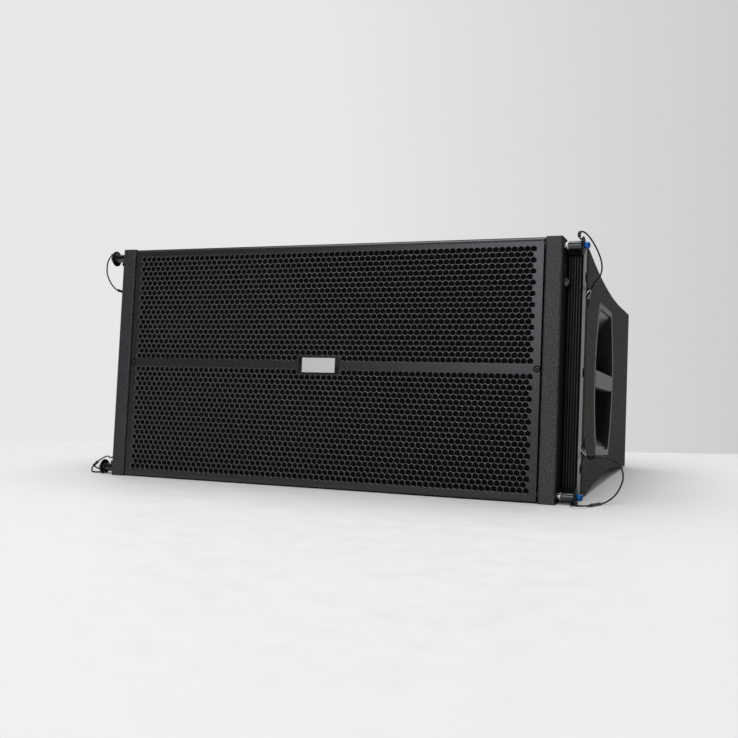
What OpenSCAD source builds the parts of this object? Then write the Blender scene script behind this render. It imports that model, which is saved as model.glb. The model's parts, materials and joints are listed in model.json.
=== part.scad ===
// Line array loudspeaker: a two-way cabinet whose columns, pins and links hang it
// under the next one. X runs to the right as the audience sees it, Y to the back
// and Z up. Lengths are millimetres, and Z is 0 under the columns.

/* [Cabinet] */
// Width across the two side panels
cab_w = 679; // [660:1:720]
// Depth from the front of the columns to the back panel's outer face
cab_d = 478; // [450:1:520]
// Height of the cabinet's front edge
front_h = 318; // [312:1:322]
// Height of the flat part at the back
rear_h = 248; // [236:1:270]
// Depth at which the concave sweep of the top and bottom starts
sweep_start = 75; // [72:1:100]
// Depth at which that sweep runs out flat
sweep_end = 370; // [340:1:400]
// Plywood thickness
ply = 15; // [12:1:18]
// Radius of the upright rear edges
rear_edge_r = 8; // [4:1:11]
// Baffle thickness
baffle_t = 18; // [15:1:22]

/* [Columns and rails] */
// How far a column stands above and below the cabinet's front edge
col_over = 4.2; // [3:0.1:8]
// Width of a column
col_w = 21; // [20:0.5:24]
// Depth of a column
col_d = 34; // [33:0.5:38]
// Wall of a column
col_wall = 3; // [2.5:0.5:3.5]
// Radius of a column's upright edges
col_edge_r = 2.5; // [1:0.5:4]
// Step from a column's outer face out to the cabinet's side
col_step = 20; // [18:0.5:24]
// Thickness of the rail's sheet
rail_t = 3; // [2.5:0.5:4]
// Width of the rail's flange along the cabinet's side
flange_w = 35; // [35:1:37]
// Groove between the flange and the coated side
flange_groove = 1.5; // [1:0.5:2]
// Number of ribs on the rail's front web
rib_n = 5; // [3:1:5]
// Distance between ribs
rib_pitch = 3.3; // [3:0.1:3.4]
// Width of a rib
rib_w = 1.4; // [1:0.1:2]
// Height of a rib
rib_h = 1.2; // [0.8:0.1:2]
// Height of a rail's end block
end_h = 15; // [12:1:20]
// How far an end block stands forward of the web
end_d = 9; // [6:0.5:9]
// Radius of a rail screw's countersunk head
rail_head_r = 6; // [5.5:0.5:7]
// Depth of a rail screw's head below the flange's face
rail_sink = 1.2; // [0.5:0.1:1.4]
// Height of the outer rail screws above and below the middle
rail_screw_z = 120; // [110:1:124]

/* [Locking pins and links] */
// Radius of a pin's shaft
pin_r = 4; // [3.5:0.1:4.5]
// Height of a pin's axis from the column's nearer end
pin_inset = 10.2; // [10.2:0.1:13]
// Depth of a pin's axis behind the column's front
pin_y = 15; // [13:0.5:16]
// Shaft that shows between the column and the barrel
pin_show = 3.5; // [2:0.5:5]
// Shaft that stands out of the column's inner face
pin_tip = 7; // [5:0.5:8]
// Radius of the barrel
barrel_r = 5.75; // [5.5:0.05:6.5]
// Length of the barrel
barrel_l = 18; // [17:0.5:20]
// Radius of the lanyard disc
disc_r = 10; // [9:0.25:10]
// Thickness of the lanyard disc
disc_t = 2; // [1.5:0.5:3]
// Radius of the lanyard hole in the disc
disc_hole_r = 1.6; // [1.4:0.1:1.8]
// Radius of the push button
button_r = 4.5; // [4:0.1:4.6]
// Length of button outside the disc
button_out = 7.5; // [6:0.5:9]
// Travel of the push button
button_travel = 3; // [2:0.5:4]
// Length of a front link
link_l = 72; // [68:1:80]
// Gap of a front link to the column's top
link_drop = 2; // [1:0.5:4]
// Depth of the link knob's axis behind the column's front
knob_y = 21; // [20:0.5:22]
// Height of the link knob's axis above the link's lower end
knob_up = 20; // [16:1:24]
// Radius of the knob's head
knob_r = 6; // [5.5:0.5:7]
// Radius of the knob's stem
knob_stem_r = 3; // [2.5:0.5:3.5]
// Height of the knob's dome
knob_h = 5; // [4:0.5:6]

/* [Lanyards] */
// Radius of the lanyard wire
wire_r = 1; // [0.8:0.1:1.2]
// Radius of a crimp sleeve
sleeve_r = 1.8; // [1.5:0.1:2]
// Mean radius of a split ring
ring_r = 9.5; // [9:0.5:10]
// Radius of a split ring's wire
ring_wire_r = 0.9; // [0.8:0.1:1]
// Distance of the upper ring hole below the upper pin
ring_drop = 55.5; // [55:0.5:56]
// Distance of the lower ring hole above the lower pin
ring_rise = 58.5; // [58:0.5:59]
// Depth of the ring holes
ring_y = 60; // [59:0.5:61]
// Radius of a ring hole
ring_hole_r = 5; // [4.8:0.1:5.4]

/* [Grille] */
// Grille sheet thickness
sheet_t = 1.5; // [1:0.1:2]
// Setback of the grille's face from the columns' front
grille_y = 1; // [1:0.5:3]
// Gap between the grille and each column
grille_gap = 2; // [1.5:0.5:4]
// How far the grille stops short of the columns' ends
grille_inset = 0.2; // [0.2:0.1:2]
// Outer radius of the rolled top and bottom edges
roll_r = 6; // [4:0.5:7]
// Distance between neighbouring holes in a row
hole_pitch = 24; // [22:0.5:28]
// Web between neighbouring holes
hole_web = 5.4; // [5:0.1:6.5]
// Solid strip across the middle, between the two hole fields
strip_h = 12; // [10:0.5:16]
// Solid margin at the grille's left and right edges
side_margin = 8; // [6:0.5:12]
// Solid margin between the holes and the rolled edges
end_margin = 4; // [3:0.5:6]
// Foam thickness
foam_t = 6; // [3:0.5:8]
// Width of a grille batten
batten_w = 14; // [12:0.5:16]
// Distance of a batten's ends from the cabinet's top and bottom
batten_gap = 45; // [40:1:60]
// Distance of a grille screw's axis from the batten's outer edge
screw_edge = 2.8; // [2.6:0.1:5]
// Radius of a grille screw's head
grille_head_r = 3.7; // [3.2:0.1:3.7]
// Badge frame width
badge_w = 58; // [50:1:64]
// Badge frame height
badge_h = 23; // [20:1:26]
// Width of the badge frame's border
badge_rim = 5; // [3:0.5:6]

/* [Handles] */
// Depth of a handle's middle behind the front
handle_y = 225; // [215:1:235]
// Width of a handle at half height
handle_w = 168; // [160:1:176]
// Width of a handle at its top and bottom edges
handle_end_w = 110; // [100:1:120]
// Height of a handle
handle_h = 208; // [190:1:212]
// Depth of the scoop
scoop_d = 44; // [38:1:48]
// Wall of the scoop
scoop_t = 3; // [2:0.5:4]
// Width of the rim
rim_w = 8; // [7.5:0.5:10]
// Thickness of the rim
rim_t = 2; // [1.5:0.5:3]
// Height of the grip bar
grip_h = 24; // [20:1:28]
// Depth of the grip bar inside the rim
grip_d = 19; // [16:1:22]
// How far the grip stands proud of the rim
grip_proud = 0.5; // [0:0.5:3]
// Radius of a handle screw's head
handle_head_r = 2.6; // [2.2:0.1:3]

/* [Drivers] */
// Width of a low driver's flange, from its opening to its rim
driver_flange_w = 19.75; // [16:0.25:24]
// Depth of a low driver's cone
cone_d = 54; // [48:1:60]
// Thickness of a cone
cone_t = 1.5; // [1:0.1:2]
// Width of a surround
surround_w = 11; // [9:0.5:12]
// Radius of a voice coil former
coil_r = 25; // [22:1:26]
// Travel of a cone each way
cone_travel = 5; // [3:0.5:6]
// Radius of a low driver's magnet
magnet_r = 70; // [60:1:76]
// Length of a low driver's magnet
magnet_l = 45; // [38:1:50]
// Length of a low driver's basket behind the baffle's front face
basket_l = 80; // [78:1:90]
// Thickness of a driver's flange
driver_flange_t = 7; // [5:0.5:8]
// Width of the waveguide's mouth
horn_w = 70; // [60:1:76]
// Distance of the waveguide's mouth from the top and bottom panels
horn_end = 14; // [13:1:24]
// Length of the waveguide
horn_l = 70; // [60:1:80]
// Width of the waveguide's throat
throat_w = 26; // [24:1:30]
// Wall of the waveguide
horn_t = 4; // [3:0.5:5]
// Radius of a compression driver
hf_r = 43; // [38:1:46]
// Length of a compression driver
hf_l = 50; // [44:1:60]
// Height of the compression drivers above and below the middle
hf_z = 70; // [60:1:76]

/* [Rear fittings] */
// How far the rear bracket stands out of the back
bracket_d = 36; // [34:1:44]
// Width of the rear bracket's plate
bracket_w = 90; // [80:1:110]
// Gap between the rear bracket's plate and the ends of the back panel
bracket_gap = 1; // [0.5:0.5:4]
// Thickness of the bracket's plate
bracket_t = 4; // [3:0.5:5]
// Thickness of a bracket lug
lug_t = 6; // [5:0.5:8]
// Height of a bracket lug
lug_h = 36; // [34:1:40]
// Thickness of the splay arm
arm_t = 12; // [10:0.5:14]
// Width of the splay arm
arm_w = 26; // [24:1:27]
// Distance from the arm's pivot to its last hole
arm_l = 112; // [100:1:118]
// Number of splay holes
splay_n = 3; // [2:1:4]
// Distance between splay holes
splay_pitch = 16; // [14:1:18]
// Radius of the pivot bolt
bolt_r = 5; // [4.5:0.1:5.5]
// Distance of the connector panel's middle from the cabinet's middle
panel_x = 150; // [140:1:200]
// Width of the connector panel
panel_w = 120; // [110:1:140]
// Height of the connector panel
panel_h = 80; // [70:1:100]
// Thickness of the connector panel
panel_t = 3; // [2:0.5:4]
// Radius of a connector socket's bore
socket_r = 11; // [9:0.5:12]
// Wall of a connector socket
socket_wall = 3; // [2:0.5:3.5]
// Depth of a connector socket's bore
socket_d = 16; // [12:1:20]
// Distance between the two sockets
socket_pitch = 52; // [46:1:54]
// Length of a crossover board's side
board_w = 150; // [120:1:160]

/* [Fits] */
// Radial clearance of a shaft that turns or slides
run_fit = 0.1; // [0.05:0.01:0.1]
// Clearance round a sliding link
slide_gap = 0.5; // [0.3:0.1:0.8]
// Clearance round a piece that is set in
seat_gap = 0.3; // [0.2:0.05:0.5]
// Clearance round a screw
screw_gap = 0.05; // [0.05:0.05:0.2]

/* [Hidden] */
$fn = 64;
eps = 1;
overall_d = cab_d + bracket_d;
col_h = front_h + 2 * col_over;
mid_z = col_h / 2;
side_x = cab_w / 2;
inner_x = side_x - ply;
col_out = side_x - col_step;
col_in = col_out - col_w;
panel_y = col_d + rail_t;
sweep_rise = (front_h - rear_h) / 2;
sweep_run = sweep_end - sweep_start;
sweep_r = (sweep_run * sweep_run + sweep_rise * sweep_rise) / (2 * sweep_rise);
bay_h = front_h - 2 * ply;
back_y = cab_d - ply;

flange_x = side_x - rail_t;
flange_end_y = col_d + flange_w;
rail_z = mid_z - front_h / 2;
rail_screw_y = col_d + flange_w / 2 + 2;
screw_shank_r = 2.8;
rail_shank_l = 10;
rail_socket_r = 2;
rail_socket_d = 1.2;

link_w = col_w - 2 * col_wall - 2 * slide_gap;
link_d = col_d - 2 * col_wall - 2 * slide_gap;
link_travel = 2 * pin_inset;
link_z = col_h - link_drop - link_l;
pin_top_z = col_h - pin_inset;
ring_hi_z = pin_top_z - ring_drop;
ring_lo_z = pin_inset + ring_rise;
barrel_x = col_out + pin_show;
disc_x = barrel_x + barrel_l;
button_x = disc_x + disc_t;
lanyard_hole = disc_r - disc_hole_r - 1;
button_in = 9;
tip_chamfer = 1.5;
knob_lift = 0.4;

ring_tilt = 60;
ring_pocket_y = [ring_y - 5, ring_y + 2 * ring_r + 4];
ring_pocket_h = 2 * ring_r + 6;
ring_pocket_x = flange_x + rail_t / 2 - ring_r - 1;

grille_half = col_in - grille_gap;
grille_h = col_h - 2 * grille_inset;
face_h = grille_h - 2 * roll_r;
roll_lap = 1;
grille_back = grille_y + sheet_t;
hole_af = hole_pitch - hole_web;
hole_tip = hole_af / sqrt(3);
row_pitch = hole_pitch * sqrt(3) / 2;
field_h = face_h / 2 - strip_h / 2 - 2 * hole_tip - end_margin;
row_n = floor(field_h / row_pitch) + 1;
row_room = 2 * (grille_half - side_margin) - hole_af;
hole_n = floor(row_room / hole_pitch) + 1;
foam_y = grille_back;
batten_y = foam_y + foam_t;
batten_out = grille_half - 1;
batten_h = front_h - 2 * batten_gap;
grille_screw_x = batten_out - screw_edge;
grille_shank_r = 1.5;
grille_shank_l = 16;
badge_t = 0.8;
badge_plate_t = 0.5;

handle_bulge = (handle_w - handle_end_w) / 2;
handle_side_r = (handle_h * handle_h / 4 + handle_bulge * handle_bulge) / (2 * handle_bulge);
scoop_half = handle_h / 2 - rim_w;
scoop_r = (scoop_half * scoop_half + scoop_d * scoop_d) / (2 * scoop_d);
scoop_x = side_x - scoop_d + scoop_r;
grip_edge_r = 5;
handle_screw_edge = 14;
handle_screw_z = handle_h / 2 - handle_screw_edge;
handle_shank_r = 1.4;

horn_flange = 5;
horn_half = horn_w / 2 + horn_t + horn_flange;
woofer_room = batten_out - batten_w - horn_half;
woofer_x = horn_half + woofer_room / 2;
woofer_r = woofer_room / 2 - 2;
woofer_hole_r = woofer_r - driver_flange_w;
surround_seat = 4;
cone_r = woofer_hole_r - surround_seat - surround_w;
window_n = 6;
window_w = 28;
window_in = coil_r + 30;
window_h = basket_l - baffle_t - 12;
spider_r = coil_r + 6;
basket_back_y = panel_y + basket_l;
cone_front_y = panel_y - 3;
cone_back_y = cone_front_y + cone_d;
former_end_y = basket_back_y + 12;
gap_d = 12 + cone_travel + 4;
woofer_screw_n = 8;
woofer_screw_r = (woofer_r + woofer_hole_r) / 2;
horn_y = panel_y - 3;
horn_h = bay_h - 2 * horn_end;
hf_y = horn_y + horn_l + 6;

bracket_h = rear_h - 2 * ply - 2 * bracket_gap;
pivot_y = cab_d + bracket_d - arm_w / 2 - 2;
pivot_z = mid_z + bracket_h / 2 - lug_h / 2;
lower_lug_z = mid_z - bracket_h / 2 + lug_h / 2;
lug_x = arm_t / 2 + seat_gap;
lug_out = lug_x + lug_t;
rear_barrel_x = lug_out + pin_show;
rear_screw_r = 2.5;
rear_head_r = 5;
rear_head_h = 3;
rear_shank_l = 12;
panel_edge = 10;
panel_cut_w = panel_w - 3 * panel_edge;

// Lanyard routes from the pin's disc to the split ring, as steps from the cabinet's side,
// the columns' front and the pin
route_top_right = [
  [0.8, 15, 7.4], [-1.2, 14.6, 8.4], [-2.6, 14.2, 10.4], [-2.8, 14, 14.4], [-1.8, 14.8, 16.8],
  [0.6, 17, 17.6], [4, 21, 16], [8, 27, 11.8], [12.5, 34, 4.6], [16.5, 40, -4], [19.4, 45, -13],
  [20.2, 49, -21], [18.8, 53, -28], [15.6, 57, -34], [9.4, 63, -40.2], [6, 67, -43.6], [4.4, 69.3, -45.2]];
route_bottom_right = [
  [0.8, 15, -7.4], [-1.4, 11, -7.6], [-1.4, 3, -7.9], [1, -6, -8.2], [6, -12, -8.2], [12, -11, -8.2],
  [17, -4, -8], [21, 6, -7.8], [30, 28, -6.6], [37, 40, -3.2], [44.5, 47, 4.3], [49.5, 51, 13.8],
  [52, 54, 23.8], [50.5, 57, 33.8], [45, 59, 41.8], [37, 60, 46.3], [28, 61, 48], [16, 63.5, 48.4],
  [9.4, 67, 48.3], [5.2, 69.4, 48.6]];
route_top_left = [
  [4.2, 15, 7.4], [8, 15.6, 7.2], [13, 17, 5.6], [19, 19, 1.4], [24, 22, -4.8], [27.5, 26, -13],
  [29, 30, -21], [28.5, 36, -29.5], [26.5, 42, -36.5], [23, 48, -41.2], [14.6, 59, -44.2],
  [9.2, 65.5, -45], [4.6, 69.2, -45.2]];
route_bottom_left = [
  [4.2, 15, -7.4], [9, 13.6, -7.8], [16, 12, -8.2], [22.5, 13, -7.6], [26, 16.5, -4.2], [26.2, 19.5, -0.2],
  [21.5, 24, 6.8], [18, 29, 11.3], [16.5, 36, 14], [17.5, 43, 14], [19.5, 50, 11.8], [20.5, 57, 12.8],
  [19, 63, 19.8], [15, 66, 29.3], [11, 67.5, 38.2], [8, 68.8, 44.4], [5.2, 69.3, 48.4]];
wire_sides = 8;

// Places a drawing made from the columns' front so that the whole is centred in depth
module centred() translate([0, -overall_d / 2, 0]) children();

// Draws the right-hand form, or its mirror image for the left
module on_side(s) mirror([s < 0 ? 1 : 0, 0, 0]) children();

// Stands a front view up as a plate that starts at depth y
module facing(y, t) translate([0, y + t, 0]) rotate([90, 0, 0]) linear_extrude(t) children();

// Stands a side view up as a plate that starts at x
module sideways(x, t) translate([x, 0, 0]) rotate([90, 0, 90]) linear_extrude(t) children();

// Turns a drawing about Z into one about X, or about Y
module along_x(p) translate(p) rotate([0, 90, 0]) children();
module along_y(p) translate(p) rotate([-90, 0, 0]) children();

// A rectangle with round corners, from its lower left corner
module round_rect(size, r) {
  translate([r, 0]) square([size[0] - 2 * r, size[1]]);
  translate([0, r]) square([size[0], size[1] - 2 * r]);
  for (x = [r, size[0] - r], y = [r, size[1] - r]) translate([x, y]) circle(r);
}

// Cabinet: the side view is a block cut by two concave sweeps, drawn inset by a wall

// What the sweep of the top takes away from the side view
module above_sweep(inset) {
  translate([sweep_end, rear_h / 2 + sweep_r]) circle(sweep_r + inset, $fn = 256);
  translate([sweep_end, rear_h / 2 - inset]) square([cab_d - sweep_end + 2 * eps, front_h]);
}

module cabinet_section(inset, front, back) {
  difference() {
    translate([front, mid_z - front_h / 2 + inset]) square([back - front, front_h - 2 * inset]);
    translate([0, mid_z]) above_sweep(inset);
    translate([0, mid_z]) mirror([0, 1]) above_sweep(inset);
  }
}

// The handle's outline: flat at the top and bottom, bowed at front and back
module handle_outline(inset) {
  bow = handle_side_r - handle_w / 2;
  translate([handle_y, mid_z]) intersection() {
    translate([bow, 0]) circle(handle_side_r - inset, $fn = 128);
    translate([-bow, 0]) circle(handle_side_r - inset, $fn = 128);
    translate([-handle_w, inset - handle_h / 2]) square([2 * handle_w, handle_h - 2 * inset]);
  }
}

module side_panel(s) {
  shell = rim_w - scoop_t;
  color("#3a3834") centred() on_side(s) difference() {
    sideways(inner_x, ply) cabinet_section(0, panel_y, cab_d);
    translate([flange_x, panel_y - eps, 0]) cube([ply, flange_end_y + flange_groove - panel_y + eps, col_h]);
    sideways(inner_x - eps, ply + 2 * eps) handle_outline(shell - seat_gap);
    sideways(side_x - rim_t, ply) handle_outline(-seat_gap);
    translate([side_x - rear_edge_r, cab_d - rear_edge_r, 0]) difference() {
      cube([rear_edge_r + eps, rear_edge_r + eps, col_h]);
      translate([0, 0, -eps]) cylinder(r = rear_edge_r, h = col_h + 2 * eps);
    }
    for (z = [ring_lo_z, ring_hi_z])
      translate([ring_pocket_x, ring_pocket_y[0], z - ring_pocket_h / 2])
        cube([ply + ring_r, ring_pocket_y[1] - ring_pocket_y[0], ring_pocket_h]);
    for (z = [-rail_screw_z, 0, rail_screw_z])
      along_x([flange_x - rail_shank_l, rail_screw_y, mid_z + z])
        cylinder(r = screw_shank_r + screw_gap, h = 2 * rail_shank_l);
    for (p = handle_screw_points)
      along_x([side_x - rim_t - 6, p[0], p[1]]) cylinder(r = handle_shank_r + screw_gap, h = 10);
  }
}

// The curved sheet of the top: the cabinet's side view less the same view one wall further in
module curved_panel(s) {
  color("#3a3834") centred() sideways(-inner_x, 2 * inner_x) intersection() {
    difference() {
      cabinet_section(0, panel_y, cab_d);
      cabinet_section(ply, panel_y - eps, cab_d + eps);
    }
    translate([0, s > 0 ? mid_z : mid_z - front_h]) square([2 * cab_d, front_h]);
  }
}

module top_panel() curved_panel(1);

module bottom_panel() curved_panel(-1);

module back_panel() {
  h = rear_h - 2 * ply;
  color("#3a3834") centred() difference() {
    translate([-inner_x, back_y, mid_z - h / 2]) cube([2 * inner_x, ply, h]);
    translate([panel_x - panel_cut_w / 2, back_y - eps, mid_z - panel_h / 2 + panel_edge])
      cube([panel_cut_w, ply + 2 * eps, panel_h - 2 * panel_edge]);
    for (p = rear_screw_points)
      along_y([p[0], cab_d - rear_shank_l, p[1]])
        cylinder(r = rear_screw_r + screw_gap, h = rear_shank_l + eps);
  }
}

module front_baffle() {
  color("#26221d") centred() difference() {
    translate([-inner_x, panel_y, mid_z - bay_h / 2]) cube([2 * inner_x, baffle_t, bay_h]);
    for (x = [-woofer_x, woofer_x]) along_y([x, panel_y - eps, mid_z])
      cylinder(r = woofer_hole_r + horn_t + seat_gap, h = baffle_t + 2 * eps, $fn = 128);
    translate([-horn_w / 2 - horn_t - seat_gap, panel_y - eps, mid_z - horn_h / 2 - horn_t - seat_gap])
      cube([horn_w + 2 * horn_t + 2 * seat_gap, baffle_t + 2 * eps, horn_h + 2 * horn_t + 2 * seat_gap]);
    for (p = woofer_screw_points)
      along_y([p[0], panel_y - eps, p[1]]) cylinder(r = rear_screw_r + screw_gap, h = baffle_t - 2);
  }
}

// Grille: two fields of hexagonal holes in one sheet, rolled over at the top and bottom

// Centres of the holes, as steps from the grille's middle
grille_holes = [
  for (f = [-1, 1], r = [0 : row_n - 1], c = [0 : hole_n - 1 - r % 2])
    let (x = (c - (hole_n - 1 - r % 2) / 2) * hole_pitch)
    let (z = f * (strip_h / 2 + hole_tip + r * row_pitch))
    if (abs(x) > badge_w / 2 + hole_tip || abs(z) > badge_h / 2 + hole_tip) [x, z]];

module grille_face() {
  difference() {
    translate([-grille_half, -face_h / 2]) square([2 * grille_half, face_h]);
    for (p = grille_holes) translate(p) rotate(30) circle(hole_tip, $fn = 6);
    for (x = [-grille_screw_x, grille_screw_x]) translate([x, 0]) circle(grille_shank_r + screw_gap);
  }
}

// The rolled edge in side view: a lap with the face, a quarter turn and a flange back to the cabinet
module rolled_edge() {
  back = panel_y - grille_y - seat_gap;
  translate([0, -roll_lap]) square([sheet_t, roll_lap]);
  translate([roll_r, 0]) intersection() {
    difference() {
      circle(roll_r);
      circle(roll_r - sheet_t);
    }
    translate([-roll_r, 0]) square(roll_r);
  }
  translate([roll_r, roll_r - sheet_t]) square([back - roll_r, sheet_t]);
}

module grille() {
  color("#2c2d30") centred() {
    translate([0, 0, mid_z]) facing(grille_y, sheet_t) grille_face();
    for (s = [0, 1]) translate([0, grille_y, mid_z]) mirror([0, 0, s])
      sideways(-grille_half, 2 * grille_half) translate([0, face_h / 2]) rolled_edge();
  }
}

module grille_foam() {
  color("#151515") centred() difference() {
    translate([-batten_out, foam_y, mid_z - face_h / 2]) cube([2 * batten_out, foam_t, face_h]);
    for (x = [-grille_screw_x, grille_screw_x])
      along_y([x, foam_y - eps, mid_z]) cylinder(r = grille_shank_r + screw_gap, h = foam_t + 2 * eps);
  }
}

module grille_battens() {
  color("#26221d") centred() for (s = [-1, 1]) on_side(s) difference() {
    translate([batten_out - batten_w, batten_y, mid_z - batten_h / 2])
      cube([batten_w, panel_y - batten_y, batten_h]);
    along_y([grille_screw_x, batten_y - eps, mid_z])
      cylinder(r = grille_shank_r + screw_gap, h = grille_shank_l);
  }
}

module grille_screws() {
  head_t = grille_y / 2;
  color("#55575a") centred() for (s = [-1, 1]) on_side(s) {
    along_y([grille_screw_x, grille_y - head_t, mid_z]) cylinder(r = grille_head_r, h = head_t);
    along_y([grille_screw_x, grille_y - head_t / 2, mid_z])
      cylinder(r = grille_shank_r, h = batten_y + grille_shank_l / 2 - grille_y);
  }
}

module badge_frame() {
  color("#17181a") centred() translate([0, 0, mid_z]) facing(grille_y - badge_t, badge_t) difference() {
    translate([-badge_w / 2, -badge_h / 2]) round_rect([badge_w, badge_h], 2);
    translate([badge_rim - badge_w / 2, badge_rim / 3 - badge_h / 2])
      square([badge_w - 2 * badge_rim, badge_h - badge_rim * 2 / 3]);
  }
}

module badge_plate() {
  w = badge_w - 2 * badge_rim - 2 * screw_gap;
  h = badge_h - badge_rim * 2 / 3 - 2 * screw_gap;
  color("#c8cbce") centred() translate([-w / 2, grille_y - badge_plate_t, mid_z - h / 2])
    cube([w, badge_plate_t, h]);
}

// Rigging at the front: tubes, their links, and the rails that carry them

module front_column(s) {
  slot_lo = link_z + knob_up;
  color("#404042") centred() on_side(s) difference() {
    translate([col_in, 0, 0]) linear_extrude(col_h) difference() {
      round_rect([col_w, col_d], col_edge_r);
      translate([col_wall, col_wall]) square([col_w - 2 * col_wall, col_d - 2 * col_wall]);
    }
    for (z = [pin_inset, pin_top_z])
      along_x([col_in - eps, pin_y, z]) cylinder(r = pin_r + run_fit, h = col_w + 2 * eps);
    for (z = [slot_lo, slot_lo + link_travel])
      along_x([col_out - col_wall - eps, knob_y, z])
        cylinder(r = knob_stem_r + slide_gap, h = col_wall + 2 * eps);
    translate([col_out - col_wall - eps, knob_y - knob_stem_r - slide_gap, slot_lo])
      cube([col_wall + 2 * eps, 2 * (knob_stem_r + slide_gap), link_travel]);
  }
}

// A link hangs on the upper pin by the top of its slot and slides up until the slot's foot stops it
module front_link(s) {
  color("#8a8c8e") centred() on_side(s) difference() {
    translate([col_in + col_wall + slide_gap, col_wall + slide_gap, link_z]) cube([link_w, link_d, link_l]);
    for (z = [pin_top_z - link_travel, pin_top_z])
      along_x([col_in, pin_y, z]) cylinder(r = pin_r + 2 * run_fit, h = col_w);
    translate([col_in, pin_y - pin_r - 2 * run_fit, pin_top_z - link_travel])
      cube([col_w, 2 * (pin_r + 2 * run_fit), link_travel]);
    along_x([col_out - col_wall - slide_gap - 6, knob_y, link_z + knob_up])
      cylinder(r = knob_stem_r + screw_gap, h = col_wall + 6);
  }
}

module link_knob(s) {
  stem_l = col_wall + slide_gap + knob_lift + 5;
  ball_r = (knob_r * knob_r + knob_h * knob_h) / (2 * knob_h);
  color("#1c1c1e") centred() on_side(s) along_x([col_out + knob_lift, knob_y, link_z + knob_up]) {
    intersection() {
      translate([0, 0, knob_h - ball_r]) sphere(ball_r);
      cylinder(r = knob_r, h = knob_h);
    }
    translate([0, 0, -stem_l]) cylinder(r = knob_stem_r, h = stem_l + 0.5);
  }
}

module side_rail(s) {
  rib_x = col_out + (col_step - (rib_n - 1) * rib_pitch) / 2;
  color("#2a2a2b") centred() on_side(s) translate([0, 0, rail_z]) difference() {
    union() {
      linear_extrude(front_h) {
        translate([col_in, col_d]) square([side_x - col_in, rail_t]);
        translate([flange_x, col_d]) square([rail_t, flange_w]);
      }
      for (i = [0 : rib_n - 1])
        translate([rib_x + i * rib_pitch - rib_w / 2, col_d - rib_h, end_h])
          cube([rib_w, rib_h + rail_t / 2, front_h - 2 * end_h]);
    }
    for (z = [ring_lo_z, ring_hi_z])
      along_x([flange_x - eps, ring_y, z - rail_z]) cylinder(r = ring_hole_r, h = rail_t + 2 * eps);
    for (z = [-rail_screw_z, 0, rail_screw_z])
      along_x([flange_x, rail_screw_y, front_h / 2 + z]) {
        cylinder(r1 = screw_shank_r + screw_gap, r2 = rail_head_r + screw_gap, h = rail_t - rail_sink);
        translate([0, 0, rail_t - rail_sink]) cylinder(r = rail_head_r + screw_gap, h = rail_sink + eps);
        translate([0, 0, -eps]) cylinder(r = screw_shank_r + screw_gap, h = rail_t);
      }
  }
}

module rail_end_blocks() {
  color("#1a1a1b") centred() for (s = [-1, 1], z = [rail_z, rail_z + front_h - end_h]) on_side(s)
    translate([col_out + seat_gap, col_d - end_d, z]) cube([col_step - seat_gap, end_d, end_h]);
}

module rail_screws() {
  color("#4a4b4d") centred() for (s = [-1, 1], z = [-rail_screw_z, 0, rail_screw_z]) on_side(s)
    along_x([flange_x, rail_screw_y, mid_z + z]) difference() {
      union() {
        cylinder(r1 = screw_shank_r, r2 = rail_head_r, h = rail_t - rail_sink);
        translate([0, 0, rail_socket_d / 2 - rail_shank_l]) cylinder(r = screw_shank_r, h = rail_shank_l);
      }
      translate([0, 0, rail_t - rail_sink - rail_socket_d]) cylinder(r = rail_socket_r, h = rail_t, $fn = 6);
    }
}

// Locking pin: shaft, barrel and lanyard disc in one, drawn along Z from the seat's outer face
module pin_form(seat, hole_turn) {
  difference() {
    union() {
      translate([0, 0, -seat - pin_tip + tip_chamfer]) cylinder(r = pin_r, h = seat + pin_tip + pin_show);
      translate([0, 0, -seat - pin_tip]) cylinder(r1 = pin_r - tip_chamfer, r2 = pin_r, h = tip_chamfer);
      translate([0, 0, pin_show]) cylinder(r = barrel_r, h = barrel_l + disc_t);
      translate([0, 0, pin_show + barrel_l]) cylinder(r = disc_r, h = disc_t);
    }
    translate([0, 0, pin_show + barrel_l + disc_t - button_in - button_travel - 0.5])
      cylinder(r = button_r + run_fit, h = button_in + button_travel + 0.5 + eps);
    rotate([0, 0, hole_turn]) translate([lanyard_hole, 0, pin_show + barrel_l - eps])
      cylinder(r = disc_hole_r, h = disc_t + 2 * eps);
  }
}

// Push button with a domed end, drawn like the pin
module button_form() {
  dome_h = 2.5;
  ball_r = (button_r * button_r + dome_h * dome_h) / (2 * dome_h);
  translate([0, 0, pin_show + barrel_l + disc_t]) {
    translate([0, 0, -button_in]) cylinder(r = button_r, h = button_in + button_out - dome_h);
    intersection() {
      translate([0, 0, button_out - ball_r]) sphere(ball_r);
      translate([0, 0, button_out - dome_h - 0.5]) cylinder(r = button_r, h = dome_h + 0.5);
    }
  }
}

// The lanyard hole points up on an upper pin and down on a lower one
module lock_pin(s, z) {
  color("#242527") centred() on_side(s) along_x([col_out, pin_y, z]) pin_form(col_w, z > mid_z ? 180 : 0);
}

module pin_button(s, z) {
  color("#1763b8") centred() on_side(s) along_x([col_out, pin_y, z]) button_form();
}

// Lanyards: one tube through the points of a route, thicker where a sleeve is crimped on

function unit(v) = v / norm(v);
function heading(path, i) = unit(path[min(i + 1, len(path) - 1)] - path[max(i - 1, 0)]);
function level(v, t) = unit(v - (v * t) * t);

// Carries a side direction along the path without twist
function carried(path, i) =
  i == 0 ? level([0.2, 0.5, 1], heading(path, 0)) : level(carried(path, i - 1), heading(path, i));

function ring_at(path, i, r) =
  let (t = heading(path, i), n = carried(path, i), b = cross(t, n))
  [for (k = [0 : wire_sides - 1]) let (a = 360 * k / wire_sides) path[i] + r * (cos(a) * n + sin(a) * b)];

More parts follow.
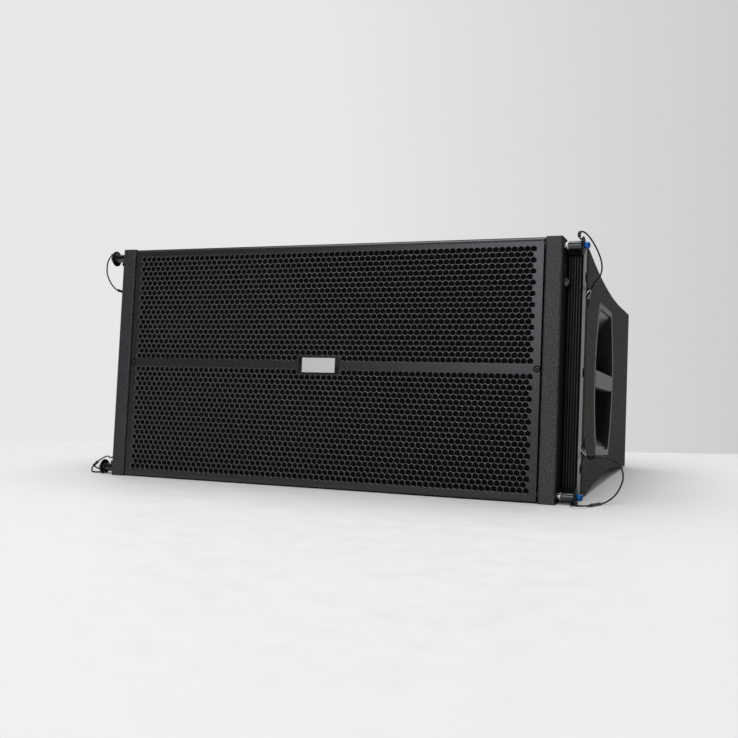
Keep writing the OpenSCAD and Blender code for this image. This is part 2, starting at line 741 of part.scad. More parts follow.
// Sleeves are pairs of point numbers, at which the tube's radius steps up and down
module lanyard_tube(path, sleeves) {
  starts = [for (p = sleeves) p[0]];
  ends = [for (p = sleeves) p[1]];
  rings = [
    for (i = [0 : len(path) - 1])
      let (up = len(search(i, starts)) > 0, down = len(search(i, ends)) > 0)
      each up ? [ring_at(path, i, wire_r), ring_at(path, i, sleeve_r)]
        : down ? [ring_at(path, i, sleeve_r), ring_at(path, i, wire_r)] : [ring_at(path, i, wire_r)]];
  n = len(rings);
  m = wire_sides;
  walls = [
    for (i = [0 : n - 2], k = [0 : m - 1])
      each [[i * m + k, (i + 1) * m + k, i * m + (k + 1) % m],
            [i * m + (k + 1) % m, (i + 1) * m + k, (i + 1) * m + (k + 1) % m]]];
  first = [for (k = [0 : m - 1]) k];
  last = [for (k = [m - 1 : -1 : 0]) (n - 1) * m + k];
  polyhedron([for (r = rings, p = r) p], concat(walls, [first, last]));
}

module lanyard(s, z, path, sleeves) {
  color("#1a1b1c") centred() on_side(s) translate([side_x, 0, z]) lanyard_tube(path, sleeves);
}

module lanyard_top_left() lanyard(-1, pin_top_z, route_top_left, [[1, 2], [9, 10]]);
module lanyard_top_right() lanyard(1, pin_top_z, route_top_right, [[2, 3], [13, 14]]);
module lanyard_bottom_left() lanyard(-1, pin_inset, route_bottom_left, [[5, 6], [14, 15]]);
module lanyard_bottom_right() lanyard(1, pin_inset, route_bottom_right, [[7, 8], [16, 17]]);

// Each ring passes through its hole in the flange and round the flange's rear edge
module lanyard_rings() {
  color("#b9bcc0") centred()
    for (s = [-1, 1], z = [ring_lo_z, ring_hi_z]) on_side(s)
      translate([flange_x + rail_t / 2, ring_y + ring_r, z])
        rotate([0, z > mid_z ? -ring_tilt : ring_tilt, 0])
          rotate_extrude() translate([ring_r, 0]) circle(ring_wire_r, $fn = 24);
}

// Handles: a scoop set into the side, its rim flush with the coat, and a bar across it

// Screw points on the rim: two near each end and one beside each end of the grip
handle_screw_points = [
  for (a = [-1, 1], b = [-1, 0, 1])
    let (z = b == 0 ? grip_h : b * handle_screw_z)
    let (r = handle_side_r - rim_w / 2)
    let (y = sqrt(r * r - z * z) - handle_side_r + handle_w / 2)
    [handle_y + a * y, mid_z + z]];

module scoop(inset, grow) {
  intersection() {
    sideways(side_x - 2 * scoop_d, 2 * scoop_d) handle_outline(inset);
    translate([scoop_x, handle_y - handle_w, mid_z]) rotate([-90, 0, 0])
      cylinder(r = scoop_r + grow, h = 2 * handle_w, $fn = 128);
  }
}

module handle_cup(s) {
  color("#4c4d4e") centred() on_side(s) difference() {
    union() {
      scoop(rim_w - scoop_t, scoop_t);
      sideways(side_x - rim_t, rim_t) handle_outline(0);
    }
    scoop(rim_w, 0);
    translate([side_x, 0, 0]) cube([scoop_d, cab_d, col_h]);
    sideways(side_x - rim_t - eps, rim_t + 2 * eps) handle_outline(rim_w);
    for (p = handle_screw_points) along_x([side_x - 1, p[0], p[1]]) {
      cylinder(r = handle_head_r + screw_gap, h = 2);
      translate([0, 0, -10]) cylinder(r = handle_shank_r + screw_gap, h = 12);
    }
  }
}

module handle_grip(s) {
  inner_r = handle_side_r - rim_w;
  inner_half = sqrt(inner_r * inner_r - grip_h * grip_h / 4) - handle_side_r + handle_w / 2;
  inner_w = 2 * (inner_half - screw_gap);
  color("#8f9092") centred() on_side(s)
    translate([side_x - grip_d, handle_y - inner_w / 2, mid_z - grip_h / 2]) rotate([-90, -90, 0])
      linear_extrude(inner_w) round_rect([grip_h, grip_d + grip_proud], grip_edge_r);
}

module handle_screws() {
  color("#1d1d1f") centred() for (s = [-1, 1], p = handle_screw_points) on_side(s)
    along_x([side_x - 1, p[0], p[1]]) {
      cylinder(r = handle_head_r, h = 1);
      translate([0, 0, -6]) cylinder(r = handle_shank_r, h = 6.5);
    }
}

// Drivers: cones that move on coil formers, and a tall waveguide between them

// Screw points of the low drivers, as steps round each axis
woofer_screw_points = [
  for (x = [-woofer_x, woofer_x], k = [0 : woofer_screw_n - 1])
    let (a = 360 * (k + 0.5) / woofer_screw_n)
    [x + woofer_screw_r * cos(a), mid_z + woofer_screw_r * sin(a)]];

module woofer_baskets() {
  hole = woofer_hole_r;
  wall = horn_t;
  color("#2b2c2e") centred() for (x = [-woofer_x, woofer_x]) difference() {
    along_y([x, 0, mid_z]) rotate_extrude($fn = 128) polygon([
      [hole, panel_y - driver_flange_t], [woofer_r, panel_y - driver_flange_t], [woofer_r, panel_y],
      [hole + wall, panel_y], [hole + wall, panel_y + baffle_t], [magnet_r, basket_back_y],
      [spider_r, basket_back_y], [spider_r, basket_back_y - wall], [magnet_r - wall, basket_back_y - wall],
      [hole, panel_y + baffle_t]]);
    for (k = [0 : window_n - 1]) along_y([x, panel_y + baffle_t, mid_z]) rotate([0, 0, 360 * k / window_n])
      translate([window_in, -window_w / 2, 2]) cube([hole, window_w, window_h]);
    for (p = woofer_screw_points)
      along_y([p[0], 0, p[1]]) cylinder(r = rear_screw_r + screw_gap, h = panel_y + eps);
  }
}

module woofer_magnets() {
  color("#4b4d50") centred() for (x = [-woofer_x, woofer_x]) along_y([x, basket_back_y, mid_z]) difference() {
    cylinder(r = magnet_r, h = magnet_l, $fn = 96);
    translate([0, 0, -eps]) cylinder(r = coil_r + 2, h = gap_d + eps);
    translate([0, 0, gap_d - 1]) cylinder(r = 10, h = magnet_l);
  }
}

// Cone, dust cap and coil former, turned from one profile
module woofer_cone(s) {
  w = cone_t;
  cap_r = coil_r + 12;
  cap_y = cone_back_y - cone_d * (cap_r - coil_r) / (cone_r - coil_r);
  color("#1d1e20") centred() on_side(s) along_y([woofer_x, 0, mid_z]) rotate_extrude($fn = 128) polygon([
    [0, cap_y - 10], [cap_r * 0.55, cap_y - 7], [cap_r, cap_y], [cone_r, cone_front_y],
    [cone_r, cone_front_y + 2 * w], [coil_r + w, cone_back_y + 2 * w], [coil_r + w, former_end_y],
    [coil_r, former_end_y], [coil_r, cone_back_y], [cap_r - w, cap_y + w], [cap_r * 0.55, cap_y - 7 + w],
    [0, cap_y - 10 + w]]);
}

// Half-roll between the cone's edge and the basket
module woofer_surround(s) {
  roll = (surround_w + surround_seat) / 2 - seat_gap;
  color("#101011") centred() on_side(s) along_y([woofer_x, 0, mid_z]) rotate_extrude($fn = 128)
    translate([cone_r + seat_gap + roll, cone_front_y + 2 * cone_t]) intersection() {
      difference() {
        circle(roll);
        circle(roll - 1.5);
      }
      translate([-roll, -roll]) square([2 * roll, roll]);
    }
}

module woofer_screws() {
  color("#6a6c6f") centred() for (p = woofer_screw_points) along_y([p[0], panel_y - driver_flange_t, p[1]]) {
    translate([0, 0, -rear_head_h]) cylinder(r = rear_head_r, h = rear_head_h);
    translate([0, 0, -1]) cylinder(r = rear_screw_r, h = driver_flange_t + rear_shank_l + 1);
  }
}

// Horn walls in plan, straight from throat to mouth, with closed ends and a flange
module hf_waveguide() {
  out = horn_w / 2;
  thr = throat_w / 2;
  front = horn_y;
  back = horn_y + horn_l;
  full_h = horn_h + 2 * horn_t;
  color("#1c1c1d") centred() difference() {
    union() {
      translate([0, 0, mid_z - full_h / 2]) linear_extrude(full_h) polygon([
        [-out - horn_t, front], [out + horn_t, front], [out + horn_t, panel_y + baffle_t],
        [thr + horn_t, back], [-thr - horn_t, back], [-out - horn_t, panel_y + baffle_t]]);
      translate([-horn_half, front, mid_z - full_h / 2 - horn_flange])
        cube([2 * horn_half, panel_y - front, full_h + 2 * horn_flange]);
    }
    translate([0, 0, mid_z - horn_h / 2]) linear_extrude(horn_h) polygon([
      [-out, front - eps], [out, front - eps], [thr, back - horn_t], [-thr, back - horn_t]]);
    for (z = [-hf_z, hf_z]) along_y([0, back - 2 * horn_t, mid_z + z]) cylinder(r = thr - 1, h = 3 * horn_t);
  }
}

module hf_drivers() {
  neck = hf_y - horn_y - horn_l;
  color("#2f3032") centred() for (z = [-hf_z, hf_z]) along_y([0, hf_y - neck, mid_z + z]) difference() {
    union() {
      cylinder(r = throat_w / 2 + horn_t, h = neck);
      translate([0, 0, neck]) cylinder(r = hf_r, h = hf_l * 0.6);
      translate([0, 0, neck]) cylinder(r = hf_r - 6, h = hf_l);
    }
    translate([0, 0, -eps]) cylinder(r = throat_w / 2 - 1, h = neck + hf_l / 2);
  }
}

module crossover_board() {
  h = board_w * 0.6;
  post = board_w / 15;
  edge = board_w / 18;
  sheet = board_w / 75;
  sink = sheet / 4;
  can_r = board_w * 0.09;
  can_l = board_w * 0.16;
  coil = [board_w * 0.2, board_w * 0.11, board_w * 0.09];
  color("#2d5a3a") centred() translate([-panel_x - board_w / 2, back_y - post, mid_z - h / 2]) {
    translate([0, -sheet, 0]) cube([board_w, sheet, h]);
    for (x = [edge, board_w - edge], z = [edge, h - edge])
      along_y([x, -sink, z]) cylinder(r = edge / 2, h = post + sink);
    for (x = [0.25, 0.5, 0.75])
      along_y([x * board_w, sink - sheet - can_l, h * 0.35]) cylinder(r = can_r, h = can_l);
    for (x = [0.35, 0.65])
      translate([x * board_w - coil[0] / 2, sink - sheet - coil[1], h * 0.72]) cube(coil);
  }
}

// Rear fittings: a bracket with a folding arm, its lower lugs, and the connector panel

// Screw points of the bracket, then of the connector panel
rear_screw_points = concat(
  [for (x = [-1, 1], z = [-1, 1])
    [x * (bracket_w / 2 - panel_edge), mid_z + z * (bracket_h / 2 - panel_edge)]],
  [for (x = [-1, 1], z = [-1, 1])
    [panel_x + x * (panel_w / 2 - panel_edge), mid_z + z * (panel_h / 2 - panel_edge)]]);

// A lug in side view: square at the plate, round about its bore
module lug_section(z) {
  reach = cab_d + bracket_d - pivot_y;
  translate([cab_d + bracket_t / 2, z - lug_h / 2]) square([pivot_y - cab_d - bracket_t / 2, lug_h]);
  translate([pivot_y, z]) circle(reach);
}

module rear_bracket() {
  color("#2a2a2b") centred() difference() {
    union() {
      translate([-bracket_w / 2, cab_d, mid_z - bracket_h / 2]) cube([bracket_w, bracket_t, bracket_h]);
      for (s = [-1, 1], z = [lower_lug_z, pivot_z]) on_side(s) sideways(lug_x, lug_t) lug_section(z);
    }
    along_x([-lug_out - eps, pivot_y, pivot_z]) cylinder(r = bolt_r + run_fit, h = 2 * (lug_out + eps));
    along_x([-lug_out - eps, pivot_y, lower_lug_z]) cylinder(r = pin_r + run_fit, h = 2 * (lug_out + eps));
    for (p = rear_screw_points) along_y([p[0], cab_d - eps, p[1]])
      cylinder(r = rear_screw_r + screw_gap, h = bracket_t + 2 * eps);
  }
}

module splay_arm() {
  color("#8a8c8e") centred() difference() {
    sideways(-arm_t / 2, arm_t) {
      for (z = [pivot_z, pivot_z - arm_l]) translate([pivot_y, z]) circle(arm_w / 2);
      translate([pivot_y - arm_w / 2, pivot_z - arm_l]) square([arm_w, arm_l]);
    }
    along_x([-arm_t, pivot_y, pivot_z]) cylinder(r = bolt_r + run_fit, h = 2 * arm_t);
    for (i = [0 : splay_n - 1])
      along_x([-arm_t, pivot_y, pivot_z - arm_l + i * splay_pitch])
        cylinder(r = pin_r + run_fit, h = 2 * arm_t);
  }
}

module splay_bolt() {
  head_r = bolt_r * 1.7;
  head_h = 6;
  color("#a5a7aa") centred() along_x([-lug_out, pivot_y, pivot_z]) {
    cylinder(r = bolt_r, h = 2 * lug_out);
    translate([0, 0, -head_h]) cylinder(r = head_r, h = head_h, $fn = 6);
    translate([0, 0, 2 * lug_out]) cylinder(r = head_r, h = head_h, $fn = 6);
  }
}

module rear_lock_pin() {
  color("#242527") centred() along_x([lug_out, pivot_y, lower_lug_z]) pin_form(2 * lug_out, 0);
}

module rear_pin_button() {
  color("#1763b8") centred() along_x([lug_out, pivot_y, lower_lug_z]) button_form();
}

module connector_panel() {
  color("#3a3b3d") centred() difference() {
    translate([panel_x - panel_w / 2, cab_d, mid_z - panel_h / 2]) cube([panel_w, panel_t, panel_h]);
    for (x = [-1, 1]) along_y([panel_x + x * socket_pitch / 2, cab_d - eps, mid_z])
      cylinder(r = socket_r + socket_wall + screw_gap, h = panel_t + 2 * eps);
    for (p = rear_screw_points) along_y([p[0], cab_d - eps, p[1]])
      cylinder(r = rear_screw_r + screw_gap, h = panel_t + 2 * eps);
  }
}

module connector_sockets() {
  lip = 2;
  body = socket_d + socket_wall;
  color("#1f2022") centred() for (x = [-1, 1])
    along_y([panel_x + x * socket_pitch / 2, cab_d + panel_t + lip - body, mid_z]) difference() {
      union() {
        cylinder(r = socket_r + socket_wall, h = body);
        translate([0, 0, body - lip]) cylinder(r = socket_r + socket_wall + 3, h = lip);
      }
      translate([0, 0, socket_wall]) cylinder(r = socket_r, h = socket_d + eps);
    }
}

module rear_screws() {
  color("#6a6c6f") centred() for (i = [0 : len(rear_screw_points) - 1]) {
    p = rear_screw_points[i];
    face = cab_d + (i < 4 ? bracket_t : panel_t);
    along_y([p[0], face, p[1]]) cylinder(r = rear_head_r, h = rear_head_h);
    along_y([p[0], cab_d - rear_shank_l + 1, p[1]])
      cylinder(r = rear_screw_r, h = face - cab_d + rear_shank_l);
  }
}

side_panel(-1);  // side_panel_left
side_panel(1);  // side_panel_right
top_panel();
bottom_panel();
back_panel();
front_baffle();
grille();
grille_foam();
grille_battens();
grille_screws();
badge_frame();
badge_plate();
front_column(-1);  // front_column_left
front_column(1);  // front_column_right
side_rail(-1);  // side_rail_left
side_rail(1);  // side_rail_right
rail_end_blocks();
rail_screws();
front_link(-1);  // front_link_left
front_link(1);  // front_link_right
link_knob(-1);  // link_knob_left
link_knob(1);  // link_knob_right
lock_pin(-1, pin_top_z);  // lock_pin_top_left
lock_pin(1, pin_top_z);  // lock_pin_top_right
lock_pin(-1, pin_inset);  // lock_pin_bottom_left
lock_pin(1, pin_inset);  // lock_pin_bottom_right
pin_button(-1, pin_top_z);  // pin_button_top_left
pin_button(1, pin_top_z);  // pin_button_top_right
pin_button(-1, pin_inset);  // pin_button_bottom_left
pin_button(1, pin_inset);  // pin_button_bottom_right
lanyard_top_left();
lanyard_top_right();
lanyard_bottom_left();
lanyard_bottom_right();
lanyard_rings();
handle_cup(-1);  // handle_cup_left
handle_cup(1);  // handle_cup_right
handle_grip(-1);  // handle_grip_left
handle_grip(1);  // handle_grip_right
handle_screws();
woofer_baskets();
woofer_magnets();
woofer_cone(-1);  // woofer_cone_left
woofer_cone(1);  // woofer_cone_right
woofer_surround(-1);  // woofer_surround_left
woofer_surround(1);  // woofer_surround_right
woofer_screws();
hf_waveguide();
hf_drivers();
crossover_board();
rear_bracket();
splay_arm();
splay_bolt();
rear_lock_pin();
rear_pin_button();
connector_panel();
connector_sockets();
rear_screws();
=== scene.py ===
"""Looks of the line array loudspeaker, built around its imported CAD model.

Lengths in this script are millimetres in the part's own drawing: X to the right,
depth from the front of the columns, height above the columns' lower ends. The
camera and the lamps are placed in metres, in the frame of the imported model.
"""
import json
import math

import bmesh
import bpy
from mathutils import Matrix, Vector

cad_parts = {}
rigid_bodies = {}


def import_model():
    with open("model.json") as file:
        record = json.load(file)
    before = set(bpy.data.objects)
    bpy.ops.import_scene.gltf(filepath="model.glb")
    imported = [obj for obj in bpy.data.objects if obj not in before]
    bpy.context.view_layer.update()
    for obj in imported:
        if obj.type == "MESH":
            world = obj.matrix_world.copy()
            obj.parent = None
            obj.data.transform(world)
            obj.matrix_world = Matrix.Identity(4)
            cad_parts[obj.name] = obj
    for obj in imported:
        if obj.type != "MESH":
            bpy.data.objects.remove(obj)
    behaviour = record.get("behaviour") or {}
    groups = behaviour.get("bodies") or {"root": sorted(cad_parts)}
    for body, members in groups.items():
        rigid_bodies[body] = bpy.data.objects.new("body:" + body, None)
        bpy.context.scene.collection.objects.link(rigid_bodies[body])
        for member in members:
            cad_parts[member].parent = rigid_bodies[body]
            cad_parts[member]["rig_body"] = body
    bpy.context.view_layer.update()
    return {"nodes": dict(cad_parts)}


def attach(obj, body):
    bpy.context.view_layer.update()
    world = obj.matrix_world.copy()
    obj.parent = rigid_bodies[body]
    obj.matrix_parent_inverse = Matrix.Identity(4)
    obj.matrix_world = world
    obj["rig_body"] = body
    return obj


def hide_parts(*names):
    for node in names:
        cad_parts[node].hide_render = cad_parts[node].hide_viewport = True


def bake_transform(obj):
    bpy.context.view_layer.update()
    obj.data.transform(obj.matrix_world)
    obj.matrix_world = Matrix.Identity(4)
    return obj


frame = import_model()
NODES = frame["nodes"]
SIDES = (("left", -1), ("right", 1))
HALF_DEPTH = 257.0
MID_Z = 163.2
SIDE_X = 339.5
COLUMN_X = 319.5
PIN_Z = {"top": 316.2, "bottom": 10.2}
PIN_DEPTH = 15.0


def at(x, depth, z):
    """A point of the drawing in the row frame, in metres."""
    return Vector((x, depth - HALF_DEPTH, z)) / 1000


# Camera, as solved from the hole grid of the grille in the photograph

CAMERA_RIGHT = Vector((0.92735, 0.37172, 0.04303))
CAMERA_UP = Vector((-0.01739, -0.07207, 0.99725))
CAMERA_BACK = Vector((0.37380, -0.92554, -0.06037))
CAMERA_PLACE = (0.5532, -1.4459, 0.0817)
SENSOR = 36
LENS = 48.27


def make_camera():
    turn = Matrix((CAMERA_RIGHT, CAMERA_UP, CAMERA_BACK)).transposed()
    data = bpy.data.cameras.new("camera")
    data.sensor_width = SENSOR
    data.lens = LENS
    camera = bpy.data.objects.new("camera", data)
    camera.matrix_world = Matrix.Translation(CAMERA_PLACE) @ turn.to_4x4()
    bpy.context.scene.collection.objects.link(camera)
    bpy.context.scene.camera = camera


make_camera()


# Materials: small helpers, one recipe for a textured surface, and the list of finishes

NOISE_SPAN = (0.3, 0.7)
ROUGH_SPREAD = 0.08
LEAST_ROUGH = 0.05
COOL_CAST = (0.97, 1.0, 1.11)
PLY_GRAIN = (1, 6, 6)
BRUSHED = (1, 20, 20)
LATHED = (1, 30, 30)


def link(tree, a, out, b, socket):
    tree.links.new(a.outputs[out], b.inputs[socket])


def node(tree, kind, **values):
    made = tree.nodes.new(kind)
    for key, value in values.items():
        made.inputs[key].default_value = value
    return made


def map_range(tree, start, end, low, high):
    """A node that stretches the span from start to end over the one from low to high."""
    ends = {"From Min": start, "From Max": end, "To Min": low, "To Max": high}
    return node(tree, "ShaderNodeMapRange", **ends)


def shader(name, colour, rough, metal=0.0, **more):
    material = bpy.data.materials.new(name)
    material.use_nodes = True
    tree = material.node_tree
    bsdf = tree.nodes["Principled BSDF"]
    bsdf.inputs["Base Color"].default_value = (*colour, 1)
    bsdf.inputs["Roughness"].default_value = rough
    bsdf.inputs["Metallic"].default_value = metal
    for key, value in more.items():
        bsdf.inputs[key.replace("_", " ")].default_value = value
    material.diffuse_color = (*colour, 1)
    return material, tree, bsdf


def noise(tree, scale, detail=3.0, stretch=(1, 1, 1), fine=0.55):
    """A noise in the part's own coordinates, finer along an axis with a larger stretch."""
    coords = tree.nodes.new("ShaderNodeTexCoord")
    mapping = node(tree, "ShaderNodeMapping", Scale=stretch)
    made = node(tree, "ShaderNodeTexNoise", Scale=scale, Detail=detail, Roughness=fine)
    link(tree, coords, "Object", mapping, "Vector")
    link(tree, mapping, "Vector", made, "Vector")
    return made


def vary_colour(tree, bsdf, source, low, high, span):
    ramp = tree.nodes.new("ShaderNodeValToRGB")
    for stop, position, colour in zip(ramp.color_ramp.elements, span, (low, high)):
        stop.position = position
        stop.color = (*colour, 1)
    link(tree, source, "Fac", ramp, "Fac")
    link(tree, ramp, "Color", bsdf, "Base Color")


def vary_rough(tree, bsdf, source, low, high):
    spread = map_range(tree, *NOISE_SPAN, low, high)
    link(tree, source, "Fac", spread, "Value")
    link(tree, spread, "Result", bsdf, "Roughness")


def bumps(tree, bsdf, source, depth):
    bump = node(tree, "ShaderNodeBump", Strength=1.0, Distance=depth / 1000)
    link(tree, source, "Fac", bump, "Height")
    link(tree, bump, "Normal", bsdf, "Normal")


def textured(name, dark, light, rough, grain, relief, metal=0.0, detail=3.0, stretch=(1, 1, 1),
             span=(0.35, 0.65), fine=0.55, **more):
    """Colour, gloss and relief from one noise; grain is the noise's scale and relief its depth."""
    middle = [(a + b) / 2 for a, b in zip(dark, light)]
    material, tree, bsdf = shader(name, middle, rough, metal, **more)
    source = noise(tree, grain, detail, stretch, fine)
    vary_colour(tree, bsdf, source, dark, light, span)
    smoothest = max(LEAST_ROUGH, rough - ROUGH_SPREAD)
    vary_rough(tree, bsdf, source, smoothest, min(1.0, rough + ROUGH_SPREAD))
    if relief:
        bumps(tree, bsdf, source, relief)
    return material


def grey(v, tint=0.0):
    """A linear grey, warmer with a positive tint and cooler with a negative one."""
    return (v * (1 + tint), v, v * (1 - tint))


def cool(v):
    """A linear grey with the blue cast of the powder paint."""
    return tuple(v * cast for cast in COOL_CAST)


FINISHES = {
    "coat": textured("coat", grey(0.005, 0.06), grey(0.066, 0.08), 0.85, 520, 0.9,
                     span=(0.42, 0.64), fine=0.65, Specular_IOR_Level=0.2),
    "ply": textured("ply", grey(0.008, 0.1), grey(0.02, 0.15), 0.75, 60, 0.2, stretch=PLY_GRAIN),
    "grille": textured("grille_paint", cool(0.014), cool(0.019), 0.3, 1400, 0.02,
                       Specular_IOR_Level=0.58, Specular_Tint=(0.92, 0.95, 1.0, 1)),
    "edge": textured("grille_edge", cool(0.15), cool(0.20), 0.26, 1400, 0.02, metal=1.0),
    "foam": textured("foam", grey(0.0018), grey(0.0075), 0.95, 900, 0.6, detail=5,
                     Specular_IOR_Level=0.05),
    "frame": textured("badge_frame_gloss", grey(0.006), grey(0.009), 0.22, 90, 0),
    "badge": textured("badge_silver", grey(0.60, -0.01), grey(0.70, -0.01), 0.4, 300, 0.02, metal=0.3,
                      stretch=BRUSHED),
    "column": textured("column_powder", cool(0.001), cool(0.052), 0.5, 560, 0.12, span=(0.42, 0.60),
                       fine=0.7),
    # Painted shade: a darker, matt copy of the column powder, for the columns' outer sides.
    "column_painted_shade": textured("shaded_column_paint", cool(0.004), cool(0.012), 0.6, 700, 0.1,
                            Specular_IOR_Level=0.06),
    "rail": textured("rail_matt", grey(0.0016), grey(0.0026), 0.55, 700, 0, Specular_IOR_Level=0.25),
    # Painted shade: matt, unreflecting black on the grille's rolled edges, the seats and sockets of its
    # screws, and the rail's shaded parts.
    "dark_as_shade": textured("matt_black_as_shade", grey(0.0025), grey(0.0045), 0.65, 700, 0,
                       Specular_IOR_Level=0.04),
    "rib": textured("rib_gloss", grey(0.003), grey(0.005), 0.42, 700, 0, Specular_IOR_Level=0.35),
    "flange": textured("flange_paint", grey(0.0030), grey(0.0042), 0.27, 700, 0.02,
                       Specular_IOR_Level=0.25),
    "block": textured("block_plastic", grey(0.0015), grey(0.003), 0.55, 900, 0.05,
                      Specular_IOR_Level=0.12),
    "screw": textured("screw_black", grey(0.03), grey(0.06), 0.36, 600, 0.02, metal=0.6),
    "zinc": textured("zinc_steel", grey(0.20, -0.02), grey(0.30, -0.02), 0.46, 220, 0.03, metal=1.0),
    "knob": textured("knob_steel", grey(0.06), grey(0.10), 0.4, 400, 0.02, metal=0.7),
    "barrel": textured("barrel_gunmetal", grey(0.05, -0.03), grey(0.09, -0.03), 0.22, 150, 0.01,
                       metal=0.95, stretch=LATHED),
    "bright": textured("bright_steel", grey(0.50, -0.01), grey(0.62, -0.01), 0.24, 150, 0.01, metal=1.0,
                       stretch=LATHED),
    "collar": textured("collar_steel", grey(0.46, -0.01), grey(0.58, -0.01), 0.25, 150, 0.01, metal=1.0,
                       stretch=LATHED),
    "disc": textured("disc_black", grey(0.006), grey(0.011), 0.55, 500, 0.02, Specular_IOR_Level=0.2),
    "blue": textured("blue_anodised", (0.004, 0.085, 0.27), (0.005, 0.10, 0.32), 0.22, 900, 0,
                     metal=0.75),
    "wire": textured("wire_black", grey(0.006), grey(0.014), 0.45, 2200, 0.1, Specular_IOR_Level=0.25),
    "sleeve": textured("crimp_sleeve", grey(0.025), grey(0.05), 0.4, 800, 0.04, metal=0.5),
    "cup": textured("cup_plastic", grey(0.008), grey(0.012), 0.32, 1300, 0.02),
    "rim": textured("rim_plastic", grey(0.008), grey(0.014), 0.4, 1300, 0.02, Specular_IOR_Level=0.3),
    "grip": textured("grip_plastic", grey(0.024, 0.03), grey(0.034, 0.03), 0.45, 1500, 0.06),
    "basket": textured("basket_paint", grey(0.012), grey(0.02), 0.5, 500, 0.1),
    "magnet": textured("magnet_grey", grey(0.05), grey(0.09), 0.6, 300, 0.1, metal=0.4),
    "cone": textured("cone_paper", grey(0.008), grey(0.016), 0.8, 700, 0.2),
    "rubber": textured("surround_rubber", grey(0.006), grey(0.01), 0.6, 900, 0.05),
    "horn": textured("horn_plastic", grey(0.008), grey(0.014), 0.45, 800, 0.06),
    "board": textured("board_green", (0.012, 0.07, 0.025), (0.02, 0.11, 0.04), 0.4, 300, 0),
    "socket": textured("socket_plastic", grey(0.01), grey(0.018), 0.38, 900, 0.04),
    "brass": textured("contact_brass", (0.50, 0.34, 0.12), (0.66, 0.46, 0.18), 0.3, 400, 0, metal=1.0),
}


# Meshes: finishing a bmesh as a piece, softened copies of CAD nodes, tubes and turned forms

WELD = 0.002
FLAT_WITHIN = 0.3
ROUND_FROM = 32
EDGE_BREAK = 1 / 6


def piece(name, bm, materials, body, replaced=(), sharp=38):
    mesh = bpy.data.meshes.new(name)
    bmesh.ops.recalc_face_normals(bm, faces=bm.faces)
    bm.to_mesh(mesh)
    bm.free()
    for m in materials:
        mesh.materials.append(FINISHES[m])
    mesh.polygons.foreach_set("use_smooth", [True] * len(mesh.polygons))
    mesh.set_sharp_from_angle(angle=math.radians(sharp))
    made = bpy.data.objects.new(name, mesh)
    bpy.context.scene.collection.objects.link(made)
    even = made.modifiers.new("even_normals", "WEIGHTED_NORMAL")
    even.keep_sharp = True
    if body:
        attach(made, body)
    if replaced:
        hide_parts(*replaced)
    return made


def body_of(name):
    return NODES[name]["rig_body"]


def welded(name):
    """The mesh of a CAD node with its faces joined."""
    bm = bmesh.new()
    bm.from_mesh(NODES[name].data)
    bmesh.ops.remove_doubles(bm, verts=bm.verts, dist=WELD / 1000)
    return bm


def round_edges(bm, width, segments, where):
    paired = [e for e in bm.edges if len(e.link_faces) == 2]
    chosen = [e for e in paired if e.calc_face_angle(0) > math.radians(ROUND_FROM)]
    if where:
        chosen = [e for e in chosen if where((e.verts[0].co + e.verts[1].co) / 2)]
    bmesh.ops.bevel(bm, geom=chosen, offset=width / 1000, offset_type="OFFSET", segments=segments,
                    profile=0.5, affect="EDGES", clamp_overlap=True)


def soften(name, materials, width=0.0, where=None, pick=None, segments=2, seam=None):
    """A copy of a CAD node with its sharp edges rounded, which stands for the node.

    A seam parts its faces at that depth, and pick gives each face the number of its material.
    """
    bm = welded(name)
    bmesh.ops.dissolve_limit(bm, angle_limit=math.radians(FLAT_WITHIN), verts=bm.verts, edges=bm.edges)
    if width:
        round_edges(bm, width, segments, where)
    if seam:
        whole = bm.verts[:] + bm.edges[:] + bm.faces[:]
        bmesh.ops.bisect_plane(bm, geom=whole, plane_co=at(0, seam, 0), plane_no=(0, 1, 0))
    if pick:
        for f in bm.faces:
            f.material_index = pick(f.calc_center_median())
    piece(name + "_look", bm, materials, body_of(name), (name,))


def smooth_path(points, steps=6):
    """Catmull-Rom points through the given ones."""
    ends = [2 * points[0] - points[1], *points, 2 * points[-1] - points[-2]]
    out = []
    for a, b, c, d in zip(ends, ends[1:], ends[2:], ends[3:]):
        for k in range(steps):
            t = k / steps
            out.append(0.5 * (2 * b + t * (c - a) + t * t * (2 * a - 5 * b + 4 * c - d)
                              + t ** 3 * (3 * b - a - 3 * c + d)))
    return out + [points[-1]]


def tube(bm, path, radius, sides=12):
    """A round tube along a path; radius is one length, or one for each point."""
    n = len(path)
    radii = radius if isinstance(radius, list) else [radius] * n
    tangents = [(path[min(i + 1, n - 1)] - path[max(i - 1, 0)]).normalized() for i in range(n)]
    side = tangents[0].orthogonal().normalized()
    turns = [2 * math.pi * k / sides for k in range(sides)]
    rings = []
    for p, t, r in zip(path, tangents, radii):
        side = (side - side.dot(t) * t).normalized()
        other = t.cross(side)
        rings.append([bm.verts.new(p + r * (math.cos(a) * side + math.sin(a) * other)) for a in turns])
    for r, s in zip(rings, rings[1:]):
        for k in range(sides):
            bm.faces.new((r[k], r[(k + 1) % sides], s[(k + 1) % sides], s[k]))
    bm.faces.new(rings[0][::-1])
    bm.faces.new(rings[-1])


